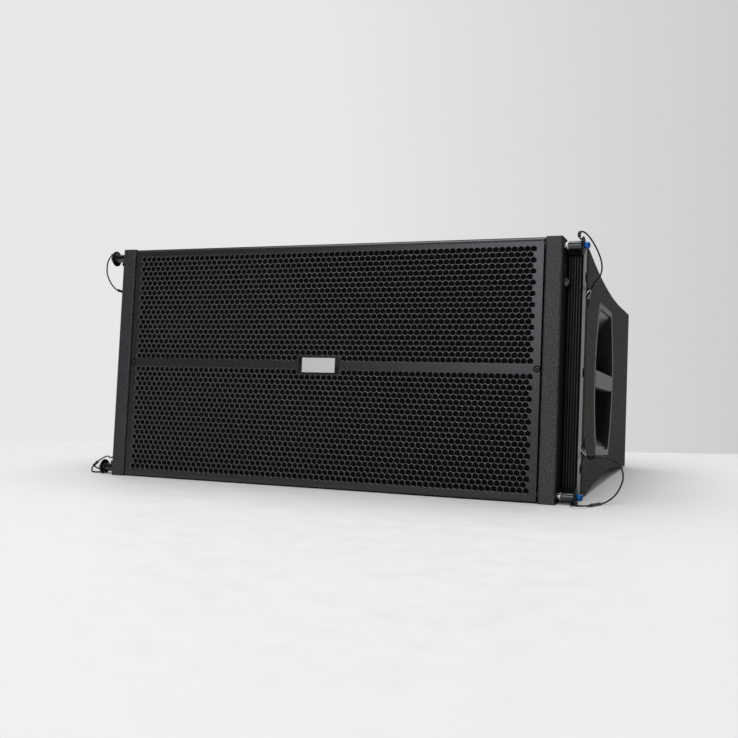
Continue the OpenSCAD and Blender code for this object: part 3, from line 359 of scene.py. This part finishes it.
def turned(bm, profile, place, sides=48, material=0):
    """A form turned from (radius, height) pairs about place's Z axis.

    A third value gives a ring that many flats, as for the hexagon socket of a screw.
    """
    rings = []
    for r, h, *flats in profile:
        if r == 0:
            rings.append([bm.verts.new(place @ Vector((0, 0, h)))] * sides)
            continue
        ring = []
        for k in range(sides):
            a = 2 * math.pi * k / sides
            reach = r
            if flats:
                half = math.pi / flats[0]
                reach = r * math.cos(half) / math.cos(a % (2 * half) - half)
            ring.append(bm.verts.new(place @ Vector((reach * math.cos(a), reach * math.sin(a), h))))
        rings.append(ring)
    for a, b in zip(rings, rings[1:]):
        for k in range(sides):
            corners = list(dict.fromkeys((a[k], a[(k + 1) % sides], b[(k + 1) % sides], b[k])))
            if len(corners) > 2:
                bm.faces.new(corners).material_index = material


def mm(profile):
    return [(r / 1000, h / 1000, *flats) for r, h, *flats in profile]


def facing_front(x, depth, z):
    """A place in the drawing whose Z axis points to the front."""
    return Matrix.Translation(at(x, depth, z)) @ Matrix.Rotation(math.radians(90), 4, "X")


def facing_side(sign, x, depth, z):
    """A place in the drawing whose Z axis points outwards, to the right or left."""
    return Matrix.Translation(at(sign * x, depth, z)) @ Matrix.Rotation(math.radians(sign * 90), 4, "Y")


def facing_back(low, high):
    """A place in the middle of a box's rear face, whose Z axis points to the back."""
    middle = ((low.x + high.x) / 2, high.y, (low.z + high.z) / 2)
    return Matrix.Translation(middle) @ Matrix.Rotation(math.radians(-90), 4, "X")


def box_around(points):
    """The lowest and the highest corner of the box around some points."""
    return [Vector([end(p[i] for p in points) for i in range(3)]) for end in (min, max)]


def box_of(name):
    """The corners of a CAD node, in metres."""
    return box_around([NODES[name].matrix_world @ v.co for v in NODES[name].data.vertices])


def islands(name):
    """The corners of each separate solid of a CAD node, in metres."""
    bm = welded(name)
    left, found = set(bm.verts), []
    while left:
        waiting, solid = [left.pop()], []
        while waiting:
            v = waiting.pop()
            solid.append(NODES[name].matrix_world @ v.co)
            near = {e.other_vert(v) for e in v.link_edges} & left
            left -= near
            waiting += near
        found.append(box_around(solid))
    bm.free()
    return sorted(found, key=lambda box: (round(box[0].x, 4), round(box[0].z, 4)))


def block(bm, place, size, material=0):
    """A box about a place, its edges broken."""
    shape = Matrix.Diagonal((*[v / 1000 for v in size], 1))
    made = bmesh.ops.create_cube(bm, size=1, matrix=place @ shape)
    edges = list(dict.fromkeys(e for v in made["verts"] for e in v.link_edges))
    broken = min(size) * EDGE_BREAK / 1000
    result = bmesh.ops.bevel(bm, geom=edges, offset=broken, segments=1, affect="EDGES")
    for f in result["faces"] + [f for v in result["verts"] for f in v.link_faces]:
        f.material_index = material


# Lanyards: the routes of the CAD source, from the cabinet's side, the columns' front and the pin

ROUTES = {
    "top_right": [
        (0.8, 15, 7.4), (-1.2, 14.6, 8.4), (-2.6, 14.2, 10.4), (-2.8, 14, 14.4), (-1.8, 14.8, 16.8),
        (0.6, 17, 17.6), (4, 21, 16), (8, 27, 11.8), (12.5, 34, 4.6), (16.5, 40, -4), (19.4, 45, -13),
        (20.2, 49, -21), (18.8, 53, -28), (15.6, 57, -34), (9.4, 63, -40.2), (6, 67, -43.6),
        (4.4, 69.3, -45.2)],
    "bottom_right": [
        (0.8, 15, -7.4), (-1.4, 11, -7.6), (-1.4, 3, -7.9), (1, -6, -8.2), (6, -12, -8.2), (12, -11, -8.2),
        (17, -4, -8), (21, 6, -7.8), (30, 28, -6.6), (37, 40, -3.2), (44.5, 47, 4.3), (49.5, 51, 13.8),
        (52, 54, 23.8), (50.5, 57, 33.8), (45, 59, 41.8), (37, 60, 46.3), (28, 61, 48), (16, 63.5, 48.4),
        (9.4, 67, 48.3), (5.2, 69.4, 48.6)],
    "top_left": [
        (4.2, 15, 7.4), (8, 15.6, 7.2), (13, 17, 5.6), (19, 19, 1.4), (24, 22, -4.8), (27.5, 26, -13),
        (29, 30, -21), (28.5, 36, -29.5), (26.5, 42, -36.5), (23, 48, -41.2), (14.6, 59, -44.2),
        (9.2, 65.5, -45), (4.6, 69.2, -45.2)],
    "bottom_left": [
        (4.2, 15, -7.4), (9, 13.6, -7.8), (16, 12, -8.2), (22.5, 13, -7.6), (26, 16.5, -4.2),
        (26.2, 19.5, -0.2), (21.5, 24, 6.8), (18, 29, 11.3), (16.5, 36, 14), (17.5, 43, 14),
        (19.5, 50, 11.8), (20.5, 57, 12.8), (19, 63, 19.8), (15, 66, 29.3), (11, 67.5, 38.2),
        (8, 68.8, 44.4), (5.2, 69.3, 48.4)],
}
SLEEVES = {"top_right": ((2, 4), (13, 14)), "bottom_right": ((7, 8), (16, 17)),
           "top_left": ((1, 2), (9, 10)), "bottom_left": ((5, 6), (14, 15))}
WIRE_R = 1.0
SLEEVE_R = 2.2
SLEEVE_STEPS = 12
SLEEVE_SIDES = 20
CRIMP = (0.75, 1, 1, 1, 0.84, 0.84, 1, 0.84, 0.84, 1, 1, 1, 0.75)
EYE_BOW = 2.4
EYE_BENDS = (0.3, 0.7)


def sleeve(bm, points):
    """A crimp sleeve along a stretch of the wire, pressed in where CRIMP is below 1."""
    path = smooth_path(points, SLEEVE_STEPS)
    share = (len(CRIMP) - 1) / (len(path) - 1)
    tube(bm, path, [SLEEVE_R / 1000 * CRIMP[round(k * share)] for k in range(len(path))], SLEEVE_SIDES)


def eye(crimp, end):
    """The returning strand of an eye, bowed out between the crimp and what it holds."""
    along = end - crimp
    bow = along.cross(Vector((1, 0, 0))).normalized() * EYE_BOW / 1000
    return [crimp, *[crimp + along * share + bow for share in EYE_BENDS], end]


def lanyard(corner):
    level, side = corner.split("_")
    sign = dict(SIDES)[side]
    route = [at(sign * (SIDE_X + x), d, PIN_Z[level] + z) for x, d, z in ROUTES[corner]]
    path = smooth_path(route)
    length = sum((b - a).length for a, b in zip(path, path[1:]))
    bm = bmesh.new()
    tube(bm, path, WIRE_R / 1000)
    wire = piece("lanyard_wire_" + corner, bm, ["wire"], None, ("lanyard_" + corner,))
    bm = bmesh.new()
    for first, last in SLEEVES[corner]:
        sleeve(bm, route[first:last + 1])
    sleeves = piece("lanyard_sleeves_" + corner, bm, ["sleeve"], None, ())
    bm = bmesh.new()
    for crimp, end in ((SLEEVES[corner][0][0], 0), (SLEEVES[corner][1][1], len(route) - 1)):
        tube(bm, smooth_path(eye(route[crimp], route[end])), WIRE_R / 1000)
    eyes = piece("lanyard_eyes_" + corner, bm, ["wire"], None, ())
    for made in (wire, sleeves, eyes):
        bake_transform(made)


for corner in ROUTES:
    lanyard(corner)


# Split rings: two close turns of wire, tilted where the lanyard draws them

RING_R = 9.5
RING_WIRE = 0.48
RING_TURNS = 1.94
RING_START = 0.6
RING_STEPS = 90
RING_SIDES = 10
RING_RISE = {"top": -55.5, "bottom": 58.5}
RING_TILT = {"top": -60, "bottom": 60}
RING_DEPTH = 69.5
RING_X = 338.0


def split_ring(bm, place):
    path = []
    for k in range(RING_STEPS + 1):
        a = 2 * math.pi * RING_TURNS * k / RING_STEPS + RING_START
        lift = (k / RING_STEPS - 0.5) * 2 * RING_WIRE
        path.append(place @ (Vector((RING_R * math.cos(a), RING_R * math.sin(a), lift)) / 1000))
    tube(bm, path, RING_WIRE / 1000, RING_SIDES)


def split_rings():
    bm = bmesh.new()
    for _, sign in SIDES:
        for level, rise in RING_RISE.items():
            place = Matrix.Translation(at(sign * RING_X, RING_DEPTH, PIN_Z[level] + rise))
            split_ring(bm, place @ Matrix.Rotation(math.radians(sign * RING_TILT[level]), 4, "Y"))
    piece("split_rings", bm, ["bright"], "cabinet", ("lanyard_rings",))


split_rings()


# Grille: two fields of hexagonal holes at their real pitch, in a sheet rolled over above and below

PITCH = 8.0
HOLE_AF = 6.85
CELL_TIP = PITCH / math.sqrt(3)
HOLE_TIP = HOLE_AF / math.sqrt(3)
LIP = ((0.55, 0.0), (0.2, 0.14), (0.0, 0.55))
ROWS = 21
ROW_HOLES = 72
FIRST_ROW = 9.5
SPARE_CELLS = 2
FACE_HALF_H = 157.0
FACE_HALF_W = 296.5
FACE_SIDES = ((0, FACE_HALF_W, 1), (0, -FACE_HALF_W, -1), (1, FACE_HALF_H, 1), (1, 0.0, -1))
SHEET = 1.5
GRILLE_Y = 1.0
GRILLE_BACK = GRILLE_Y + SHEET
ROLL_R = 6.0
ROLL_BACK = 36.7
ROLL_STEPS = 8
# First step of the rolled edge that is painted black as shade
ROLL_SHADE_FROM = 4
BADGE_W, BADGE_H = 58.0, 23.0
BADGE_CLEAR = 3.0


def clip(poly, axis, limit, sign):
    """The part of a convex polygon on one side of a line."""
    out = []
    for a, b in zip(poly, poly[1:] + poly[:1]):
        da, db = sign * (limit - a[axis]), sign * (limit - b[axis])
        if da >= 0:
            out.append(a)
        if da * db < 0:
            t = da / (da - db)
            out.append((a[0] + t * (b[0] - a[0]), a[1] + t * (b[1] - a[1])))
    return out


def hexagon(x, z, tip):
    turns = [math.radians(60 * k) for k in range(6)]
    return [(x + tip * math.sin(a), z + tip * math.cos(a)) for a in turns]


def grille_cells():
    """Every cell of the upper field and the sheet round it: its centre and whether it is punched."""
    rise = PITCH * math.sqrt(3) / 2
    for r in range(-SPARE_CELLS, ROWS + SPARE_CELLS):
        count = ROW_HOLES - r % 2
        for c in range(-SPARE_CELLS, count + SPARE_CELLS):
            x = (c - (count - 1) / 2) * PITCH
            z = FIRST_ROW + r * rise
            inside = 0 <= r < ROWS and 0 <= c < count
            under_badge = abs(x) < BADGE_W / 2 + BADGE_CLEAR and z < BADGE_H / 2 + BADGE_CLEAR
            yield x, z, inside and not under_badge


def loop_at(bm, known, points, y, s):
    """The vertices of a loop at a depth, shared by neighbours; s is -1 for the lower field."""
    loop = []
    for x, z in points:
        key = (round(x, 3), round(y, 3), round(s * z, 3))
        if key not in known:
            known[key] = bm.verts.new(at(x, y, MID_Z + s * z))
        loop.append(known[key])
    return loop


def key_of(v):
    p = v.co * 1000
    return (round(p.x, 3), round(p.y + HALF_DEPTH, 3), round(p.z - MID_Z, 3))


def punched_cell(bm, known, x, z, s):
    """The face of a cell, the rounded edge and the wall of its hole, and its back."""
    steps = [(CELL_TIP, GRILLE_Y)]
    steps += [(HOLE_TIP + out, GRILLE_Y + down) for out, down in LIP]
    steps += [(HOLE_TIP, GRILLE_BACK), (CELL_TIP, GRILLE_BACK)]
    loops = [loop_at(bm, known, hexagon(x, z, tip), y, s) for tip, y in steps]
    for step, (a, b) in enumerate(zip(loops, loops[1:])):
        material = 1 if 0 < step < len(LIP) else 0
        for k in range(6):
            bm.faces.new((a[k], a[(k + 1) % 6], b[(k + 1) % 6], b[k])).material_index = material


def plain_cell(bm, known, x, z, s):
    """The front and back of an unpunched cell, cut off at the sides of the face."""
    cell = hexagon(x, z, CELL_TIP)
    for axis, limit, sign in FACE_SIDES:
        cell = clip(cell, axis, limit, sign)
    if len(cell) < 3:
        return
    for y in (GRILLE_Y, GRILLE_BACK):
        corners = list(dict.fromkeys(loop_at(bm, known, cell, y, s)))
        if len(corners) > 2:
            bm.faces.new(corners)


def sheet_edges(bm, known):
    """Walls from the front of the sheet to its back, along its outer edges."""
    for e in [e for e in bm.edges if len(e.link_faces) == 1]:
        keys = [key_of(v) for v in e.verts]
        if any(y != GRILLE_Y for _, y, _ in keys):
            continue
        behind = [known.get((x, GRILLE_BACK, z)) for x, _, z in keys]
        if all(behind):
            bm.faces.new((*e.verts, *behind[::-1]))


def rolled_edge(bm, s):
    """Quarter turn and flange along the upper edge, or its mirror image along the lower.

    The steps of the turn that look up more than forwards, or down in the mirror image, are painted black
    as shade.
    """
    outer, inner = [], []
    for k in range(ROLL_STEPS + 1):
        a = math.radians(90 * k / ROLL_STEPS)
        for line, r in ((outer, ROLL_R), (inner, ROLL_R - SHEET)):
            line.append((GRILLE_Y + ROLL_R - r * math.cos(a), FACE_HALF_H + r * math.sin(a)))
    outer.append((ROLL_BACK, FACE_HALF_H + ROLL_R))
    inner.append((ROLL_BACK, FACE_HALF_H + ROLL_R - SHEET))
    profile = outer + inner[::-1]
    ends = []
    for x in (-FACE_HALF_W, FACE_HALF_W):
        ends.append([bm.verts.new(at(x, y, MID_Z + s * z)) for y, z in profile])
    n = len(profile)
    for k in range(n):
        made = bm.faces.new((ends[0][k], ends[0][(k + 1) % n], ends[1][(k + 1) % n], ends[1][k]))
        made.material_index = 2 if ROLL_SHADE_FROM <= k < ROLL_STEPS else 0
    bm.faces.new(ends[0])
    bm.faces.new(ends[1][::-1])


def grille():
    bm = bmesh.new()
    known = {}
    for s in (1, -1):
        for x, z, punched in grille_cells():
            cell = punched_cell if punched else plain_cell
            cell(bm, known, x, z, s)
    sheet_edges(bm, known)
    for s in (1, -1):
        rolled_edge(bm, s)
    finishes = ["grille", "edge", "dark_as_shade"]
    piece("grille_sheet", bm, finishes, "cabinet", ("grille",), sharp=50)


grille()


# Screws of the grille: a round head with a hexagon socket, in a seat; seat and socket are painted black as
# shade

SCREW_X = 292.7
SCREW_SEAT = [(4.3, -0.4), (4.3, 0.05), (2.9, 0.05), (2.8, -0.3)]
SCREW_HEAD = [(2.8, -0.3), (2.75, 0.5), (2.5, 0.8), (2.1, 0.88), (1.45, 0.88, 6)]
SCREW_SOCKET = [(1.45, 0.88, 6), (1.35, 0.08, 6), (0, 0.08)]


def grille_screws():
    bm = bmesh.new()
    for _, sign in SIDES:
        place = facing_front(sign * SCREW_X, GRILLE_Y, MID_Z)
        # The seat and the socket take the black painted as shade; the head takes the screw's own finish.
        for line, material in ((SCREW_SEAT, 1), (SCREW_HEAD, 0), (SCREW_SOCKET, 1)):
            turned(bm, mm(line), place, material=material)
    piece("grille_screw_heads", bm, ["screw", "dark_as_shade"], "cabinet", ("grille_screws",),
          sharp=25)


grille_screws()


# Screws of the rear fittings and handles, with hexagon sockets; heads are in shares of their radius

SHANK = 0.5
REAR_HEAD = ((1, -3), (1, -0.9), (0.86, -0.2), (0.7, 0), (0.52, 0, 6), (0.48, -1.8, 6), (0, -1.8))
HANDLE_HEAD = ((1, -1), (1, 0.1), (0.85, 0.35), (0.6, 0.4), (0.5, 0.4, 6), (0.46, -0.7, 6), (0, -0.7))
HANDLE_HEAD_SIDES = 36


def screw(bm, place, radius, length, head, sides=48):
    """A shank up to the underside of its head, and the head."""
    shank = ((0, -length), (SHANK, -length), (SHANK, head[0][1]))
    turned(bm, mm([(radius * share, *rest) for share, *rest in shank + head]), place, sides)


def rear_screws():
    bm = bmesh.new()
    for low, high in islands("rear_screws"):
        size = (high - low) * 1000
        screw(bm, facing_back(low, high), size.x / 2, size.y, REAR_HEAD)
    piece("rear_screw_heads", bm, ["screw"], "cabinet", ("rear_screws",),
          sharp=28)


def handle_screws():
    bm = bmesh.new()
    for low, high in islands("handle_screws"):
        sign = 1 if low.x > 0 else -1
        face = high.x if sign > 0 else low.x
        size = (high - low) * 1000
        place = Matrix.Translation((face, (low.y + high.y) / 2, (low.z + high.z) / 2))
        place = place @ Matrix.Rotation(math.radians(sign * 90), 4, "Y")
        screw(bm, place, size.z / 2, size.x, HANDLE_HEAD, HANDLE_HEAD_SIDES)
    piece("handle_screw_heads", bm, ["screw"], "cabinet", ("handle_screws",),
          sharp=28)


rear_screws()
handle_screws()


# Rear connectors: round sockets with a core, contacts and keys, behind a stepped lip

SOCKET_WALL = 6.0
SOCKET_FLOOR = 3.0
CORE_R = 6.6
CONTACT = (0.9, 3.2, 7.5)
CONTACT_DEPTH = 9.0
CONTACT_TURNS = (45, 135, 225, 315)
KEY = (2, 2.6, 9)
KEY_DEPTH = 7.0
KEY_INSET = 0.5
KEY_TURNS = (0, 150)


def around(place, degrees, radius, depth):
    """A place at a radius and a depth inside a socket, turned about its axis."""
    turn = Matrix.Rotation(math.radians(degrees), 4, "Z")
    return place @ turn @ Matrix.Translation((radius / 1000, 0, -depth / 1000))


def connectors():
    bm = bmesh.new()
    for low, high in islands("connector_sockets"):
        r = (high.x - low.x) / 2 * 1000
        deep = (high.y - low.y) * 1000
        bore, floor = r - SOCKET_WALL, SOCKET_FLOOR - deep
        place = facing_back(low, high)
        shell = [(0, -deep), (r - 3, -deep), (r - 3, -2), (r, -2), (r, -0.6), (r - 0.6, 0)]
        lip = [(bore + 2.6, 0), (bore + 2.2, -0.5), (bore + 0.8, -0.5), (bore, -1.2), (bore, floor)]
        core = [(CORE_R, floor), (CORE_R, -4), (CORE_R - 0.8, -3.2), (3.2, -3), (2.9, -9), (0, -9)]
        turned(bm, mm(shell + lip + core), place)
        for turn in CONTACT_TURNS:
            block(bm, around(place, turn, CORE_R, CONTACT_DEPTH), CONTACT, 1)
        for turn in KEY_TURNS:
            block(bm, around(place, turn, bore - KEY_INSET, KEY_DEPTH), KEY, 0)
    piece("connector_look", bm, ["socket", "brass"], "cabinet", ("connector_sockets",),
          sharp=28)


connectors()


# Acoustic foam behind the grille, and the rubber half rolls of the low drivers

FOAM_CELLS = (60, 32)
FOAM_EDGE = 1.5
FOAM_RIPPLE = 0.25
FOAM_WAVES = (1.7, 1.3)
SURROUND_SKIN = 1.2
SURROUND_STEPS = 12
SURROUND_SIDES = 72


def foam():
    """A sheet with rippled faces, drawn in along its border."""
    low, high = box_of("grille_foam")
    size, middle = high - low, (high + low) / 2
    across, up = FOAM_CELLS
    bm = bmesh.new()
    rows = {}
    for face, y in ((0, low.y), (1, high.y)):
        for i in range(across + 1):
            for k in range(up + 1):
                x = middle.x + size.x * (i / across - 0.5)
                z = middle.z + size.z * (k / up - 0.5)
                inwards = FOAM_RIPPLE * (1 + math.sin(i * FOAM_WAVES[0]) * math.cos(k * FOAM_WAVES[1]))
                if i in (0, across) or k in (0, up):
                    inwards += FOAM_EDGE
                rows[face, i, k] = bm.verts.new((x, y + (1 - 2 * face) * inwards / 1000, z))
    for face in (0, 1):
        for i in range(across):
            for k in range(up):
                bm.faces.new([rows[face, i + a, k + b] for a, b in ((0, 0), (1, 0), (1, 1), (0, 1))])
    border = [(i, 0) for i in range(across)] + [(across, k) for k in range(up)]
    border += [(i, up) for i in range(across, 0, -1)] + [(0, k) for k in range(up, 0, -1)]
    for a, b in zip(border, border[1:] + border[:1]):
        bm.faces.new((rows[(0, *a)], rows[(0, *b)], rows[(1, *b)], rows[(1, *a)]))
    piece("foam_sheet", bm, ["foam"], "cabinet", ("grille_foam",))


def surround(side):
    """From the front of the basket's flange, over a half roll, down to the edge of the cone."""
    name = "woofer_surround_" + side
    low, high = box_of(name)
    cone_low, cone_high = box_of("woofer_cone_" + side)
    outer = (high.x - low.x) / 2 * 1000
    reach = (outer - (cone_high.x - cone_low.x) / 2 * 1000) / 2
    rise = (high.y - low.y) * 1000
    top = []
    for k in range(SURROUND_STEPS + 1):
        a = math.pi * k / SURROUND_STEPS
        top.append((outer - reach + reach * math.cos(a), rise * math.sin(a)))
    under = [(r, h - SURROUND_SKIN) for r, h in top[::-1]]
    middle = Vector(((low.x + high.x) / 2, 0, (low.z + high.z) / 2))
    start, end = middle + Vector((0, low.y, 0)), middle + Vector((0, high.y, 0))
    bm = bmesh.new()
    place = Matrix.Translation(end) @ Matrix.Rotation(math.radians(90), 4, "X")
    turned(bm, mm(top + under + top[:1]), place, SURROUND_SIDES)
    made = piece(name + "_look", bm, ["rubber"], None, (name,))
    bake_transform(made)


foam()
for side, _ in SIDES:
    surround(side)


# Rigid pieces kept from the CAD, with rounded edges and finished surfaces

OUTER_X = SIDE_X - 0.5
# Column faces beyond this take the painted shade of the column's outer side.
COLUMN_SIDE_X = 319.3
# The rail is black all over; behind the ribs' crests and on the flange's rear part it is matt as painted
# shade.
RIB_DEPTH = 33.2
FLANGE_SHADE_DEPTH = 56.0


def outer_side(p):
    return abs(p.x) > OUTER_X / 1000


def column_outer_shade_pick(p):
    """Painted shade: the outer side of a column takes a darker, matt copy of its powder paint."""
    return 1 if abs(p.x) > COLUMN_SIDE_X / 1000 else 0


def rail_gloss_and_shade_pick(p):
    """Gloss on the flange's outer front and the ribs' crests; elsewhere black made matt as painted shade.
    """
    if outer_side(p):
        return 1 if p.y < at(0, FLANGE_SHADE_DEPTH, 0).y else 0
    return 2 if p.y < at(0, RIB_DEPTH, 0).y else 0


def cup_finish(p):
    """The rim of a handle's scoop lies in the cabinet's side."""
    return 1 if outer_side(p) else 0


def side_pieces(side):
    soften("side_panel_" + side, ["coat"], 2.0, where=outer_side, segments=3)
    soften("front_column_" + side, ["column", "column_painted_shade"], 0.6, pick=column_outer_shade_pick)
    soften("side_rail_" + side, ["dark_as_shade", "flange", "rib"], 0.25, pick=rail_gloss_and_shade_pick, seam=FLANGE_SHADE_DEPTH)
    soften("front_link_" + side, ["zinc"], 0.6)
    soften("link_knob_" + side, ["knob"], 0.5)
    soften("handle_cup_" + side, ["cup", "rim"], 0.5, pick=cup_finish)
    soften("handle_grip_" + side, ["grip"], 0.6)


for side, _ in SIDES:
    side_pieces(side)
for name, material, width in (
        ("top_panel", "coat", 0), ("bottom_panel", "coat", 0), ("back_panel", "coat", 0),
        ("badge_frame", "frame", 0.25), ("badge_plate", "badge", 0.15), ("rail_end_blocks", "block", 0.8),
        ("rail_screws", "screw", 0.2), ("rear_bracket", "rail", 0.6), ("splay_arm", "zinc", 0.8),
        ("splay_bolt", "zinc", 0.5), ("connector_panel", "rail", 0.4)):
    soften(name, [material], width)

# Pieces inside the cabinet, which keep their CAD shape

for name, material in (
        ("front_baffle", "ply"), ("grille_battens", "ply"), ("woofer_baskets", "basket"),
        ("woofer_magnets", "magnet"), ("hf_drivers", "magnet"), ("woofer_cone_left", "cone"),
        ("woofer_cone_right", "cone"), ("woofer_screws", "screw"), ("hf_waveguide", "horn"),
        ("crossover_board", "board")):
    NODES[name].data.materials.clear()
    NODES[name].data.materials.append(FINISHES[material])


# Locking pins: bright shaft, dark barrel with a steel collar, black disc and blue button

PIN_FINISH = ["collar", "barrel", "disc"]
PIN_EDGE = 0.4
REAR_PIN_X = 12.3
SHAFT_END = 3.6
DISC_START = 21.4
BARREL_X = 3.5
DISC_X = 21.5
DISC_T = 2.0
BUTTON_X = 23.5
BUTTON = [(0, -9), (4.3, -9), (4.5, -8.7), (4.5, 0.7), (3.8, 1.1), (3.8, 1.9), (4.5, 2.3), (4.5, 4.4),
          (4.25, 5.5), (3.5, 6.5), (2.4, 7.15), (1.2, 7.43), (0, 7.5)]
COLLAR = [(5.7, 0.0), (5.95, 0.1), (6.05, 0.3), (6.05, 0.9), (5.95, 1.1), (5.7, 1.2)]
RIM = [(5.75, -1.5), (6.1, -1.5), (6.3, -1.2), (6.3, -0.5), (6.1, -0.2), (5.75, -0.2)]
TYRE_R, TYRE_W, TYRE_H = 9.9, 1.2, 1.25
TYRE_STEPS = 12


def pin_materials(seat_x):
    """A choice of finish along a pin, by the step outwards from its seat."""
    def pick(p):
        step = abs(p.x) * 1000 - seat_x
        if step < SHAFT_END:
            return 0
        return 2 if step > DISC_START else 1

    return pick


def pin_trim(name, place_at, body):
    """Steel collar, dark rim and the rounded edge of the disc."""
    bm = bmesh.new()
    turned(bm, mm(COLLAR), place_at(BARREL_X), material=0)
    turned(bm, mm(RIM), place_at(DISC_X), material=1)
    tyre = []
    for k in range(TYRE_STEPS + 1):
        a = 2 * math.pi * k / TYRE_STEPS
        tyre.append((TYRE_R + TYRE_W * math.cos(a), DISC_T / 2 + TYRE_H * math.sin(a)))
    turned(bm, mm(tyre), place_at(DISC_X), material=2)
    piece(name, bm, PIN_FINISH, body, ())


def button(name, place_at):
    bm = bmesh.new()
    turned(bm, mm(BUTTON), place_at(BUTTON_X))
    piece(name + "_look", bm, ["blue"], body_of(name), (name,), sharp=30)


def front_pin(level, side, sign):
    corner = level + "_" + side

    def place_at(step):
        return facing_side(sign, COLUMN_X + step, PIN_DEPTH, PIN_Z[level])

    soften("lock_pin_" + corner, PIN_FINISH, PIN_EDGE, pick=pin_materials(COLUMN_X))
    pin_trim("pin_trim_" + corner, place_at, "pin_" + corner)
    button("pin_button_" + corner, place_at)


for side, sign in SIDES:
    for level in PIN_Z:
        front_pin(level, side, sign)
soften("rear_lock_pin", PIN_FINISH, PIN_EDGE, pick=pin_materials(REAR_PIN_X))
soften("rear_pin_button", ["blue"], 0.3)


# Stage: a pale table on which the cabinet leans back, soft light and a pale grey room

TABLE_RISE = 38.0 / 478.0
TABLE_GAP = 0.05
TABLE_CORNERS = ((-3200, -2400), (3200, -2400), (3200, 1680), (-3200, -396))
TABLE_WHITE = 0.80
TABLE_GRAIN = 40
TABLE_ROUGH = (0.5, 0.7)
WALL_SPAN = (-0.40, -0.02)
WALL_LEFT, WALL_RIGHT = 0.80, 0.61
ROOM_SPAN = (-0.5, 0.5)
ROOM_FRONT, ROOM_BACK = 0.08, 0.6
FILL = 0.44


def make_stage():
    corners = [at(x, depth, TABLE_RISE * depth - TABLE_GAP) for x, depth in TABLE_CORNERS]
    mesh = bpy.data.meshes.new("table_top")
    mesh.from_pydata(corners, [], [(0, 1, 2, 3)])
    material, tree, bsdf = shader("table_paper", grey(TABLE_WHITE), sum(TABLE_ROUGH) / 2)
    vary_rough(tree, bsdf, noise(tree, TABLE_GRAIN), *TABLE_ROUGH)
    mesh.materials.append(material)
    table = bpy.data.objects.new("table_top", mesh)
    bpy.context.scene.collection.objects.link(table)


def make_world():
    """A pale grey wall for the camera, a room that is dim in front for reflections, and an even fill."""
    world = bpy.data.worlds.new("room")
    world.use_nodes = True
    bpy.context.scene.world = world
    tree = world.node_tree
    tree.nodes.clear()
    out = tree.nodes.new("ShaderNodeOutputWorld")
    rays = tree.nodes.new("ShaderNodeLightPath")
    coords = tree.nodes.new("ShaderNodeTexCoord")
    split = tree.nodes.new("ShaderNodeSeparateXYZ")
    link(tree, coords, "Generated", split, "Vector")

    def background(strength):
        return node(tree, "ShaderNodeBackground", Color=(1, 1, 1, 1), Strength=strength)

    def faded(axis, span, low, high):
        made = background(1.0)
        fade = map_range(tree, *span, low, high)
        link(tree, split, axis, fade, "Value")
        link(tree, fade, "Result", made, "Color")
        return made

    def choose(ray, no, yes):
        mix = tree.nodes.new("ShaderNodeMixShader")
        link(tree, rays, ray, mix, 0)
        link(tree, no, 0, mix, 1)
        link(tree, yes, 0, mix, 2)
        return mix

    wall = faded("X", WALL_SPAN, WALL_LEFT, WALL_RIGHT)
    room = faded("Y", ROOM_SPAN, ROOM_FRONT, ROOM_BACK)
    shown = choose("Is Glossy Ray", background(FILL), room)
    shown = choose("Is Transmission Ray", shown, wall)
    shown = choose("Is Camera Ray", shown, wall)
    link(tree, shown, 0, out, 0)


def softbox(name, place, aim, size, power):
    data = bpy.data.lights.new(name, "AREA")
    data.shape = "RECTANGLE"
    data.size, data.size_y = size
    data.energy = power
    lamp = bpy.data.objects.new(name, data)
    lamp.location = place
    lamp.rotation_euler = (Vector(aim) - Vector(place)).to_track_quat("-Z", "Y").to_euler()
    bpy.context.scene.collection.objects.link(lamp)


make_stage()
make_world()
softbox("overhead", place=(-0.15, -0.2, 2.4), aim=(-0.1, -0.2, 0.1), size=(2.4, 2.0), power=48)
softbox("front", place=(-0.1, -3.2, 1.0), aim=(0.1, 0, 0.15), size=(1.4, 1.2), power=19)

bpy.context.scene.view_settings.view_transform = "Standard"
